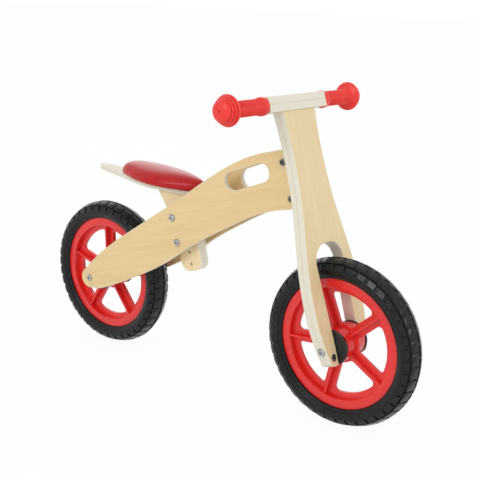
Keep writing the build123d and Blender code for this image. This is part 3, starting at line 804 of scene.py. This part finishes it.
def rounded(corners: Sequence[Triple], steps: int = 4) -> list[Pair]:
    """Round the corners of a closed outline.

    Args:
        corners: points with the radius of each corner, 0 for a sharp one.
        steps: parts in each rounded corner.

    Returns:
        The outline's points.
    """
    outline: list[Pair] = []
    for number, (x, y, radius) in enumerate(corners):
        here = Vector((x, y))
        before = Vector(corners[number - 1][:2]) - here
        after = Vector(corners[(number + 1) % len(corners)][:2]) - here
        half = before.angle(after, math.pi) / 2
        if radius <= 0 or abs(half - math.pi / 2) < STRAIGHT:
            outline.append((x, y))
            continue
        room = min(before.length, after.length) * CORNER_SHARE
        reach = min(radius / math.tan(half), room)
        start, stop = here + before.normalized() * reach, here + after.normalized() * reach
        for step in range(steps + 1):
            share = step / steps
            point = start * (1 - share) ** 2 + here * (2 * share * (1 - share)) + stop * share**2
            outline.append((point.x, point.y))
    return outline


def lathe(name: str, outline: Sequence[Pair], centre: Triple, segments: int) -> Mesh:
    """Turn a closed outline about an axis that lies across the bike.

    Args:
        name: the mesh's name.
        outline: points of distance along the axis and radius.
        centre: a point on the axis.
        segments: parts round the axis.

    Returns:
        A closed mesh.
    """
    points = np.array(outline)
    angles = np.linspace(0.0, math.tau, segments, endpoint=False)
    rings = np.zeros((segments, len(points), 3))
    rings[:, :, 0] = centre[0] + np.outer(np.sin(angles), points[:, 1])
    rings[:, :, 1] = centre[1] + points[:, 0]
    rings[:, :, 2] = centre[2] + np.outer(np.cos(angles), points[:, 1])
    count = len(points)
    faces = []
    for turn in range(segments):
        here, there = turn * count, (turn + 1) % segments * count
        for step in range(count):
            after = (step + 1) % count
            faces.append((here + step, here + after, there + after, there + step))
    mesh = bpy.data.meshes.new(name)
    mesh.from_pydata(rings.reshape(-1, 3).tolist(), [], faces)
    face_outwards(mesh)
    return mesh


@dataclass(frozen=True)
class BlockRow:
    """One row of tread blocks, at an angle of the tyre's section in degrees from its crown."""

    angle: float
    phase: float
    length_mm: float
    width_mm: float
    skew_mm: float
    lift_mm: float


@dataclass(frozen=True)
class Bell:
    """A soft groove or ridge round a side wall, by its share of the way from bead to shoulder."""

    height_mm: float
    middle: float
    width: float

    def at(self, share: float) -> float:
        """Give the height at a share of the wall."""
        return self.height_mm * math.exp(-(((share - self.middle) / self.width) ** 2))


@dataclass
class Wheel:
    """A wheel: foam tyre with moulded blocks, and a ribbed plastic rim.

    A point of the tyre's section is a radius and a width from the wheel's middle plane.
    """

    name: str
    body: Body
    axle: Triple
    tread: TreadTool
    tyre_finish: Material
    rim_finish: Material
    bead_mm: Pair = (112.02, 15.98)
    bead_lip_mm: float = 2.2
    wall_mm: Pair = (127.0, 23.5)
    shoulder_mm: Pair = (139.0, 16.92)
    shoulder_angle: float = 39.0
    crown_centre_mm: float = 118.14
    crown_radius_mm: float = 26.86
    wall_steps: int = 24
    crown_steps: int = 12
    skin_mm: float = 0.15
    tread_depth_mm: float = 2.05
    tread_start: float = 0.60
    tread_ease: float = 0.14
    bead_groove: Bell = Bell(0.9, 0.20, 0.028)
    bead_ridge: Bell = Bell(0.15, 0.13, 0.05)
    blocks: int = 40
    block_drop_mm: float = 0.3
    block_root_mm: float = 1.7
    block_corner_mm: float = 1.5
    segments: int = 144
    tyre_crease: float = 34.0
    rim_weld_mm: float = 0.004
    rim_flat: float = 0.4
    rim_sharp: float = 40.0
    rim_edge_mm: float = 1.1
    rim_crease: float = 30.0
    rows: tuple[BlockRow, ...] = (
        BlockRow(23.0, 0.0, 21.3, 15.6, 3.4, 1.55),
        BlockRow(-23.0, 0.5, 21.3, 15.6, 3.4, 1.55),
        BlockRow(55.0, 0.45, 16.4, 9.8, 1.8, 2.75),
        BlockRow(-55.0, 0.95, 16.4, 9.8, 1.8, 2.75),
    )

    def wall_arc(self) -> Triple:
        """Find the circle of the side wall.

        Returns:
            Its centre as radius and width, and its own radius, in mm.
        """
        (ax, ay), (bx, by), (cx, cy) = self.shoulder_mm, self.wall_mm, self.bead_mm
        spread = 2 * (ax * (by - cy) + bx * (cy - ay) + cx * (ay - by))
        sums = [ax**2 + ay**2, bx**2 + by**2, cx**2 + cy**2]
        x = (sums[0] * (by - cy) + sums[1] * (cy - ay) + sums[2] * (ay - by)) / spread
        y = (sums[0] * (cx - bx) + sums[1] * (ax - cx) + sums[2] * (bx - ax)) / spread
        return x, y, math.hypot(ax - x, ay - y)

    def wall_turn(self, point: Pair) -> float:
        """Give the angle of a point on the side wall's circle."""
        x, y, _ = self.wall_arc()
        return math.atan2(point[1] - y, point[0] - x)

    def surface(self, angle: float) -> Triple:
        """Find the tread's outer surface at an angle of the section.

        Args:
            angle: degrees from the crown, to either side.

        Returns:
            Width and radius in mm, and the lean of the surface in radians.
        """
        way = math.copysign(1.0, angle)
        turn = math.radians(abs(angle))
        edge = math.radians(self.shoulder_angle)
        if turn <= edge:
            x, y, radius, lean = self.crown_centre_mm, 0.0, self.crown_radius_mm, turn
        else:
            x, y, radius = self.wall_arc()
            past = (turn - edge) * self.crown_radius_mm / radius
            lean = self.wall_turn(self.shoulder_mm) + past
        return way * (y + radius * math.sin(lean)), x + radius * math.cos(lean), way * lean

    def section(self) -> list[Pair]:
        """Draw the tyre's section under its blocks, with a bead line beside the rim.

        Returns:
            Points of width and radius in metres.
        """
        x, y, radius = self.wall_arc()
        low, high = self.wall_turn(self.bead_mm), self.wall_turn(self.shoulder_mm)
        seat, bead = self.bead_mm
        half: list[Pair] = [(bead - self.bead_lip_mm, seat)]
        for step in range(self.wall_steps + 1):
            share = step / self.wall_steps
            turn = low + (high - low) * share
            drop = min(max((share - self.tread_start) / self.tread_ease, 0.0), 1.0)
            sunk = self.skin_mm + self.tread_depth_mm * drop * drop * (3 - 2 * drop)
            sunk += self.bead_groove.at(share) - self.bead_ridge.at(share)
            out = max(x + (radius - sunk) * math.cos(turn), seat)
            half.append((y + (radius - sunk) * math.sin(turn), out))
        depth = self.crown_radius_mm - self.skin_mm - self.tread_depth_mm
        for step in range(1, self.crown_steps + 1):
            turn = math.radians(self.shoulder_angle) * (1 - step / self.crown_steps)
            half.append((depth * math.sin(turn), self.crown_centre_mm + depth * math.cos(turn)))
        whole = half + [(-width, height) for width, height in reversed(half[:-1])]
        return [(width * MM, height * MM) for width, height in whole]

    def build_tyre(self) -> None:
        """Turn the tyre, set its rows of blocks and dress it."""
        node = f"{self.name}_tyre"
        tyre = new_piece(f"{node}_blocks", lathe(node, self.section(), self.axle, self.segments))
        for row in self.rows:
            width, radius, lean = self.surface(row.angle)
            root = radius - self.tread_depth_mm * math.cos(lean)
            self.tread.attach(
                tyre,
                Count=self.blocks,
                Phase=row.phase,
                Radius=(root - self.block_drop_mm) * MM,
                Across=(width - self.tread_depth_mm * math.sin(lean)) * MM,
                Lean=lean,
                Length=row.length_mm * MM,
                Width=row.width_mm * MM,
                Height=row.lift_mm * MM,
                Sink=self.block_root_mm * MM,
                Skew=row.skew_mm * math.copysign(1.0, row.angle) * MM,
                Corner=self.block_corner_mm * MM,
                Axle=self.axle,
                Finish=self.tyre_finish,
            )
        set_plain(tyre)
        face_outwards(tyre.data)
        shade_smooth(tyre.data, self.tyre_crease)
        declare(tyre, self.body, Slot.TYRE_FOAM, node)

    def build_rim(self, node: Piece) -> None:
        """Round the edges and roots of the rim, as they come out of a mould.

        Args:
            node: the CAD rim.
        """
        work = bmesh.new()
        work.from_mesh(node.data)
        bmesh.ops.remove_doubles(work, verts=work.verts, dist=self.rim_weld_mm * MM)
        flat, least = math.radians(self.rim_flat), math.radians(self.rim_sharp)
        bmesh.ops.dissolve_limit(work, angle_limit=flat, verts=work.verts, edges=work.edges)
        shared = (edge for edge in work.edges if len(edge.link_faces) == 2)
        sharp = [edge for edge in shared if edge.calc_face_angle() > least]
        bmesh.ops.bevel(
            work,
            geom=sharp,
            offset=self.rim_edge_mm * MM,
            offset_type="OFFSET",
            segments=3,
            profile=0.5,
            affect="EDGES",
            clamp_overlap=True,
        )
        name = f"{self.name}_rim"
        rim = new_piece(f"{name}_rounded", close_work(work, f"{name}_rounded"))
        dress(rim, self.rim_finish)
        shade_smooth(rim.data, self.rim_crease)
        declare(rim, self.body, Slot.WHEEL_PLASTIC, name)

    def build(self, nodes: Nodes) -> None:
        """Build the wheel's pieces from the CAD nodes."""
        self.build_tyre()
        self.build_rim(nodes[f"{self.name}_rim"])


@dataclass
class Grip:
    """A rubber grip: collar, ribbed sleeve, guard flange and stepped dome with a vent."""

    side: Side
    ribs: RibTool
    finish: Material
    start_mm: float = 78.0
    tip_mm: float = 185.0
    bore_mm: float = 11.02
    bore_end_mm: float = 167.4
    vent_mm: float = 1.2
    sleeve_mm: float = 12.4
    rib_start_mm: float = 93.0
    rib_pitch_mm: float = 2.35
    rib_count: int = 27
    rib_sink_mm: float = 0.3
    rib_section_mm: float = 0.80
    segments: int = 72
    crease: float = 38.0

    def outline(self) -> list[Pair]:
        """Draw the grip's half section from points along the bar, out from it, and a corner radius.

        Returns:
            Points along the bar and out from it, in metres.
        """
        corners = [
            (self.start_mm, self.bore_mm, 0.0),
            (self.start_mm, 14.4, 2.6),
            (self.start_mm + 5.5, 15.2, 30.0),
            (self.start_mm + 11.0, 14.6, 2.0),
            (self.start_mm + 12.2, self.sleeve_mm, 1.2),
            (157.0, self.sleeve_mm, 3.0),
            (159.6, 16.6, 3.0),
            (163.0, 24.2, 2.6),
            (166.2, 24.9, 1.3),
            (166.9, 20.9, 0.5),
            (168.1, 20.9, 0.5),
            (168.7, 22.6, 0.8),
            (171.2, 22.1, 1.0),
            (171.8, 18.4, 0.5),
            (173.0, 18.4, 0.5),
            (173.5, 20.1, 0.8),
            (175.8, 19.5, 1.0),
            (176.4, 15.9, 0.5),
            (177.6, 15.9, 0.5),
            (178.1, 17.5, 0.8),
            (180.4, 16.8, 1.6),
            (183.0, 13.4, 6.0),
            (184.6, 7.5, 8.0),
            (self.tip_mm, self.vent_mm + 0.5, 0.4),
            (self.tip_mm - 0.6, self.vent_mm, 0.3),
            (self.bore_end_mm, self.vent_mm, 0.0),
            (self.bore_end_mm, self.bore_mm, 0.0),
        ]
        return [(self.side.value * along * MM, out * MM) for along, out in rounded(corners)]

    def build(self) -> None:
        """Turn the grip, rib its sleeve and dress it."""
        name = f"grip_{self.side.name.lower()}"
        grip = new_piece(f"{name}_ribbed", lathe(name, self.outline(), BAR_CENTRE, self.segments))
        self.ribs.attach(
            grip,
            Count=self.rib_count,
            Centre=BAR_CENTRE,
            Start=self.side.value * self.rib_start_mm * MM,
            Pitch=self.side.value * self.rib_pitch_mm * MM,
            Radius=(self.sleeve_mm - self.rib_sink_mm) * MM,
            Section=self.rib_section_mm * MM,
            Finish=self.finish,
        )
        set_plain(grip)
        face_outwards(grip.data)
        shade_smooth(grip.data, self.crease)
        declare(grip, Body.FORK, Slot.GRIP_RUBBER, name)


@dataclass
class SeatPad:
    """The padded seat: vinyl swelled over foam, drawn down flat on its board."""

    finish: Material
    start_scale: Triple = (0.975, 0.955, 0.93)
    voxel: float = 4.0 * MM
    pressure: float = 4.0
    frames: int = 20
    furthest: float = 5.0 * MM
    held_height: float = 3.0 * MM
    inset: float = 0.2 * MM
    tuck: float = 2.2 * MM
    ease: float = 0.5
    ease_steps: int = 44
    crease: float = 60.0

    def to_seat(self) -> Matrix:
        """Give the matrix from the seat's plane to the bike."""
        return Matrix.Translation(SEAT_ORIGIN) @ Matrix.Rotation(SEAT_TILT, 4, "Y")

    def start_shape(self, node: Piece) -> Piece:
        """Copy the CAD pad a little smaller, in the seat's plane, with an even mesh.

        Args:
            node: the CAD pad.

        Returns:
            The pad before it swells.
        """
        work = bmesh.new()
        work.from_mesh(node.data)
        bmesh.ops.remove_doubles(work, verts=work.verts, dist=WELD)
        work.transform(self.to_seat().inverted())
        middle = sum(v.co.x for v in work.verts) / len(work.verts)
        sx, sy, sz = self.start_scale
        for vertex in work.verts:
            x, y, z = vertex.co
            vertex.co = (middle + (x - middle) * sx, y * sy, z * sz)
        pad = new_piece("seat_pad_vinyl", close_work(work, "seat_pad_vinyl"))
        even = pad.modifiers.new("even", "REMESH")
        even.mode = "VOXEL"
        even.voxel_size = self.voxel
        set_plain(pad)
        return pad

    def swell(self, pad: Piece) -> None:
        """Swell the pad with pressure, held flat on its board.

        Args:
            pad: the pad, changed in place.
        """
        start = np.array([v.co for v in pad.data.vertices])
        held = pad.vertex_groups.new(name="held")
        low = [i for i, point in enumerate(start) if point[2] < self.held_height]
        held.add(low, 1.0, "REPLACE")
        cloth = pad.modifiers.new("swell", "CLOTH")
        cloth.settings.use_pressure = True
        cloth.settings.uniform_pressure_force = self.pressure
        cloth.settings.effector_weights.gravity = 0.0
        cloth.settings.vertex_group_mass = "held"
        cloth.point_cache.frame_start, cloth.point_cache.frame_end = 1, self.frames
        scene = bpy.context.scene
        for frame in range(1, self.frames + 1):
            scene.frame_set(frame)
        graph = bpy.context.evaluated_depsgraph_get()
        swelled = np.array([v.co for v in pad.evaluated_get(graph).data.vertices])
        pad.modifiers.clear()
        pad.vertex_groups.clear()
        scene.frame_set(1)
        move = swelled - start
        length = np.linalg.norm(move, axis=1, keepdims=True)
        move *= np.minimum(1.0, self.furthest / np.maximum(length, 1e-9))
        moved = start + move
        moved[:, 2] = np.maximum(moved[:, 2], 0.0)
        pad.data.vertices.foreach_set("co", moved.ravel())
        pad.data.update()

    def fit(self, pad: Piece, node: Piece) -> None:
        """Bring the swelled pad back to the box of the CAD pad, both in the seat's plane.

        Args:
            pad: the pad, changed in place.
            node: the CAD pad.
        """
        to_plane = self.to_seat().inverted()
        goal = np.array([to_plane @ v.co for v in node.data.vertices])
        have = np.array([v.co for v in pad.data.vertices])
        low, high = goal.min(axis=0) + self.inset, goal.max(axis=0) - self.inset
        low[2] = -self.tuck
        share = (have - have.min(axis=0)) / (have.max(axis=0) - have.min(axis=0))
        fitted = low + share * (high - low)
        fitted[:, 2] = np.maximum(fitted[:, 2], 0.0)
        pad.data.vertices.foreach_set("co", fitted.ravel())
        pad.data.update()

    def build(self, node: Piece) -> None:
        """Build the seat.

        Args:
            node: the CAD pad.
        """
        pad = self.start_shape(node)
        self.swell(pad)
        smooth = pad.modifiers.new("ease", "SMOOTH")
        smooth.factor, smooth.iterations = self.ease, self.ease_steps
        finer = pad.modifiers.new("finer", "SUBSURF")
        finer.levels = finer.render_levels = 1
        set_plain(pad)
        self.fit(pad, node)
        pad.data.transform(self.to_seat())
        dress(pad, self.finish)
        shade_smooth(pad.data, self.crease)
        declare(pad, Body.FRAME, Slot.SEAT_VINYL, "seat_pad")


def leaning(angle: float) -> tuple[Triple, Triple]:
    """Give the axes up along a board that leans back by an angle, and forwards out of it."""
    return (-math.sin(angle), 0.0, math.cos(angle)), (math.cos(angle), 0.0, math.sin(angle))


@dataclass
class Boards:
    """The plywood boards, each with its grain along its own length.

    The tones of a board are its face, its figure and, where it has one, its own edge; the seat
    post's are painted lighter, as painted light where it stands in shade.
    """

    panel_slope: Pair = (0.994229, 0.107278)
    panel_rear: float = 61.0 * MM
    panel_thickness: float = 9.0 * MM
    panel_grain_rise: float = 0.30
    spacer_depth: float = 60.0 * MM
    spacer_plies: int = 45
    fork_lean: float = math.radians(18.0)
    plate_thickness: float = 21.0 * MM
    plate_plies: int = 15
    bar_side: float = 25.0 * MM
    bar_plies: int = 17
    seat_thickness: float = 9.5 * MM
    seat_plies: int = 7
    post_lean: float = math.radians(15.0)
    post_middle: Triple = (-76.009 * MM, 0.0, 300.004 * MM)
    head_middle: Triple = (120.0 * MM, 0.0, 400.0 * MM)
    head_width: float = 40.0 * MM
    head_plies: int = 29
    pale: tuple[Triple, ...] = ((0.690, 0.660, 0.535), (0.655, 0.610, 0.470))
    fork_tones: tuple[Triple, ...] = ((0.765, 0.625, 0.365), (0.700, 0.540, 0.285))
    # Painted light: the seat post's face, figure and edge are painted lighter than its wood,
    # standing in for light that the panels and seat keep off it.
    post_tones_painted_light: tuple[Triple, ...] = (
        (0.880, 0.715, 0.430),
        (0.820, 0.640, 0.360),
        (0.920, 0.885, 0.745),
    )
    finishes: dict[str, BirchPly] = field(default_factory=dict)

    def plan_side(self, side: Side) -> None:
        """Set the plane of one side's panel and of its seat spacer.

        Args:
            side: the side of the bike.
        """
        (along, across), way, end = self.panel_slope, side.value, side.name.lower()
        through = Vector((across, way * along, 0.0))
        outer = Vector((-AXLE_X, way * self.panel_rear, AXLE_Z))
        plane = tuple(outer - through * (self.panel_thickness / 2))
        grain = Vector((along, -way * across, self.panel_grain_rise))
        grain -= through * grain.dot(through)
        panel, spacer = f"side_panel_{end}", f"seat_spacer_{end}"
        self.finishes[panel] = BirchPly(
            f"birch_{panel}", plane, tuple(grain), tuple(through), self.panel_thickness
        )
        self.finishes[spacer] = BirchPly(
            f"birch_{spacer}", plane, UPWARDS, tuple(through), self.spacer_depth, self.spacer_plies
        )

    def plan(self) -> None:
        """Set each board's plane, thickness and tone."""
        for side in Side:
            self.plan_side(side)
        fork_up, fork_out = leaning(self.fork_lean)
        seat_up, seat_along = leaning(-SEAT_TILT)
        post_up, _ = leaning(self.post_lean)
        half = self.seat_thickness / 2
        seat_middle = tuple(top - half * up for top, up in zip(SEAT_ORIGIN, seat_up))
        plate, bar = (self.plate_thickness, self.plate_plies), (self.bar_side, self.bar_plies)
        seat, head = (self.seat_thickness, self.seat_plies), (self.head_width, self.head_plies)
        foot = (AXLE_X, 0.0, AXLE_Z)
        planned = {
            "fork_plate": ("fork", foot, fork_up, fork_out, *plate, *self.fork_tones),
            "handlebar": ("bar", BAR_CENTRE, LEFTWARDS, fork_up, *bar, *self.pale),
            "seat_board": ("seat", seat_middle, seat_along, seat_up, *seat, *self.pale),
            "seat_post": ("post", self.post_middle, post_up, RIGHTWARDS, *plate, *self.post_tones_painted_light),
            "head_block": ("block", self.head_middle, fork_up, LEFTWARDS, *head),
        }
        for node, (name, *values) in planned.items():
            self.finishes[node] = BirchPly(f"birch_{name}", *values)

    def build(self, nodes: Nodes) -> None:
        """Dress the boards.

        Args:
            nodes: the CAD nodes.
        """
        self.plan()
        for name, finish in self.finishes.items():
            dress(nodes[name], finish.material())
            LOG.info("%s: birch plywood, %d plies", name, finish.plies)


@dataclass
class Fittings:
    """The bolts, nuts, screws, axles, bushes, spacers and steering parts."""

    zinc: Steel = Steel("zinc_plate", (0.500, 0.500, 0.490), (0.370, 0.375, 0.375), (0.24, 0.40))
    black: Steel = Steel(
        "black_oxide", (0.150, 0.147, 0.142), (0.075, 0.074, 0.073), (0.22, 0.40), metallic=0.8
    )
    bracket: Steel = Steel(
        "black_coat", (0.060, 0.060, 0.064), (0.040, 0.040, 0.044), (0.38, 0.54), 0.2, 0.16
    )
    nylon: MouldedPlastic = MouldedPlastic(
        "bush_nylon", (0.780, 0.770, 0.720), (0.700, 0.680, 0.620), (0.36, 0.50)
    )
    spacer: MouldedPlastic = MouldedPlastic(
        "spacer_plastic", (0.016, 0.016, 0.017), (0.026, 0.026, 0.027), (0.34, 0.48), specular=0.4
    )

    def slots(self) -> dict[Slot, Union[Steel, MouldedPlastic]]:
        """Give the finish of each slot."""
        return {
            Slot.ZINC_STEEL: self.zinc,
            Slot.BLACK_STEEL: self.black,
            Slot.BRACKET_STEEL: self.bracket,
            Slot.BUSH_NYLON: self.nylon,
            Slot.SPACER_PLASTIC: self.spacer,
        }

    @staticmethod
    def slot_of(name: str) -> Slot:
        """Tell which slot a fitting takes.

        Args:
            name: the CAD node's name.

        Returns:
            Its slot.
        """
        if name in ("head_bolts", "head_nuts", "leg_dowels"):
            return Slot.BLACK_STEEL
        if name.startswith("fork_bracket") or name == "head_tube":
            return Slot.BRACKET_STEEL
        if "bush" in name:
            return Slot.BUSH_NYLON
        if "spacer" in name:
            return Slot.SPACER_PLASTIC
        return Slot.ZINC_STEEL

    def build(self, nodes: Nodes, done: Sequence[str]) -> None:
        """Dress every node that no other class has.

        Args:
            nodes: the CAD nodes.
            done: names of the nodes that are dressed or replaced already.
        """
        materials = {slot: finish.material() for slot, finish in self.slots().items()}
        for name in sorted(set(nodes) - set(done)):
            slot = self.slot_of(name)
            dress(nodes[name], materials[slot])
            LOG.info("%s: %s", name, slot.value)


@dataclass(frozen=True)
class SoftBox:
    """A square studio lamp."""

    name: str
    place: Triple
    side: float
    power: float


@dataclass
class Studio:
    """Pale floor, white surround, soft lamps and the camera."""

    floor_side: float = 60.0
    floor_grey: float = 0.86
    floor_white: float = 0.95
    surround: float = 0.86
    focus: Triple = (0.0, 0.0, 0.27)
    azimuth: float = 37.85133
    elevation: float = 16.29006
    roll: float = 2.09691
    camera_place: Triple = (0.9934, -1.1795, 0.6969)
    focal_px: float = 883.4
    principal_px: Pair = (250.35, 251.53)
    farthest: float = 200.0
    lamps: tuple[SoftBox, ...] = (
        SoftBox("key", (0.1, -2.7, 1.65), 1.0, 18.0),
        SoftBox("fill", (3.0, 0.1, 1.1), 0.8, 12.5),
        SoftBox("back", (-1.9, 1.9, 1.5), 1.7, 6.0),
    )

    @staticmethod
    def seen(canvas: Canvas) -> Socket:
        """Tell camera, glossy and transmission rays from lighting rays.

        Args:
            canvas: the tree.

        Returns:
            1 for a ray that shows the background.
        """
        path = canvas.add("ShaderNodeLightPath")
        shown = canvas.math("MAXIMUM", path.outputs["Is Camera Ray"], path.outputs["Is Glossy Ray"])
        return canvas.math("MAXIMUM", shown, path.outputs["Is Transmission Ray"])

    def build_floor(self) -> None:
        """Lay the floor, white to the camera with the bike's shadow kept."""
        half = self.floor_side / 2
        mesh = bpy.data.meshes.new("floor")
        corners = [(-half, -half, 0), (half, -half, 0), (half, half, 0), (-half, half, 0)]
        mesh.from_pydata(corners, [], [(0, 1, 2, 3)])
        floor = new_piece("floor", mesh)
        material = bpy.data.materials.new("floor_pale")
        material.use_nodes = True
        canvas = Canvas(material.node_tree)
        canvas.tree.nodes.clear()
        matt = canvas.add("ShaderNodeBsdfDiffuse", {"Color": rgba((self.floor_grey,) * 3)})
        glow = canvas.add("ShaderNodeEmission", {"Color": WHITE, "Strength": 1.0})
        share = canvas.math("MULTIPLY", self.seen(canvas), self.floor_white)
        both = canvas.add("ShaderNodeMixShader", {0: share, 1: matt.outputs[0], 2: glow.outputs[0]})
        canvas.add("ShaderNodeOutputMaterial", {"Surface": both.outputs[0]})
        dress(floor, material)

    def build_world(self) -> None:
        """Surround the bike with white, dimmer where it only lights."""
        world = bpy.data.worlds.new("surround")
        world.use_nodes = True
        bpy.context.scene.world = world
        canvas = Canvas(world.node_tree)
        canvas.tree.nodes.clear()
        light, white = (
            canvas.add("ShaderNodeBackground", {"Color": WHITE, "Strength": strength}).outputs[0]
            for strength in (self.surround, 1.0)
        )
        both = canvas.add("ShaderNodeMixShader", {0: self.seen(canvas), 1: light, 2: white})
        canvas.add("ShaderNodeOutputWorld", {"Surface": both.outputs[0]})

    def build_lamps(self) -> None:
        """Hang the lamps, each turned to the bike."""
        for lamp in self.lamps:
            data = bpy.data.lights.new(lamp.name, "AREA")
            data.size, data.energy = lamp.side, lamp.power
            light = bpy.data.objects.new(lamp.name, data)
            light.location = lamp.place
            aim = Vector(self.focus) - Vector(lamp.place)
            light.rotation_euler = aim.to_track_quat("-Z", "Y").to_euler()
            bpy.context.scene.collection.objects.link(light)

    def build_camera(self) -> None:
        """Set the camera at the photograph's angle."""
        turn, rise, roll = (math.radians(a) for a in (self.azimuth, self.elevation, self.roll))
        level = math.cos(rise)
        back = Vector((math.sin(turn) * level, -math.cos(turn) * level, math.sin(rise)))
        right = Vector((math.cos(turn), math.sin(turn), 0.0))
        up = back.cross(right)
        rolled_right = right * math.cos(roll) + up * math.sin(roll)
        rolled_up = up * math.cos(roll) - right * math.sin(roll)
        data = bpy.data.cameras.new("camera")
        data.sensor_width = SENSOR
        data.lens = SENSOR * self.focal_px / IMAGE_SIDE
        data.shift_x = (IMAGE_SIDE / 2 - self.principal_px[0]) / IMAGE_SIDE
        data.shift_y = (self.principal_px[1] - IMAGE_SIDE / 2) / IMAGE_SIDE
        data.clip_end = self.farthest
        camera = bpy.data.objects.new("camera", data)
        axes = Matrix((rolled_right, rolled_up, back)).transposed().to_4x4()
        camera.matrix_world = Matrix.Translation(self.camera_place) @ axes
        bpy.context.scene.collection.objects.link(camera)
        bpy.context.scene.camera = camera

    def build(self) -> None:
        """Build the studio."""
        bpy.context.scene.view_settings.view_transform = "Standard"
        self.build_floor()
        self.build_world()
        self.build_lamps()
        self.build_camera()


def main() -> None:
    """Build the bike's looks in order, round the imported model."""
    logging.basicConfig(level=logging.INFO, format="%(message)s")
    nodes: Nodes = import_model()["nodes"]
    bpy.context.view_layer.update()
    Studio().build()
    boards = Boards()
    boards.build(nodes)
    tyre_finish = FoamRubber().material()
    rim_finish = RIM_PLASTIC.material()
    tread = TreadTool()
    for name, body, x in (("front", Body.FRONT_WHEEL, AXLE_X), ("rear", Body.REAR_WHEEL, -AXLE_X)):
        Wheel(name, body, (x, 0.0, AXLE_Z), tread, tyre_finish, rim_finish).build(nodes)
    grip_finish = GripRubber().material()
    ribs = RibTool()
    for side in Side:
        Grip(side, ribs, grip_finish).build()
    SeatPad(SeatVinyl().material()).build(nodes["seat_pad"])
    Fittings().build(nodes, [*boards.finishes, *REPLACED])


if __name__ == "__main__":
    main()
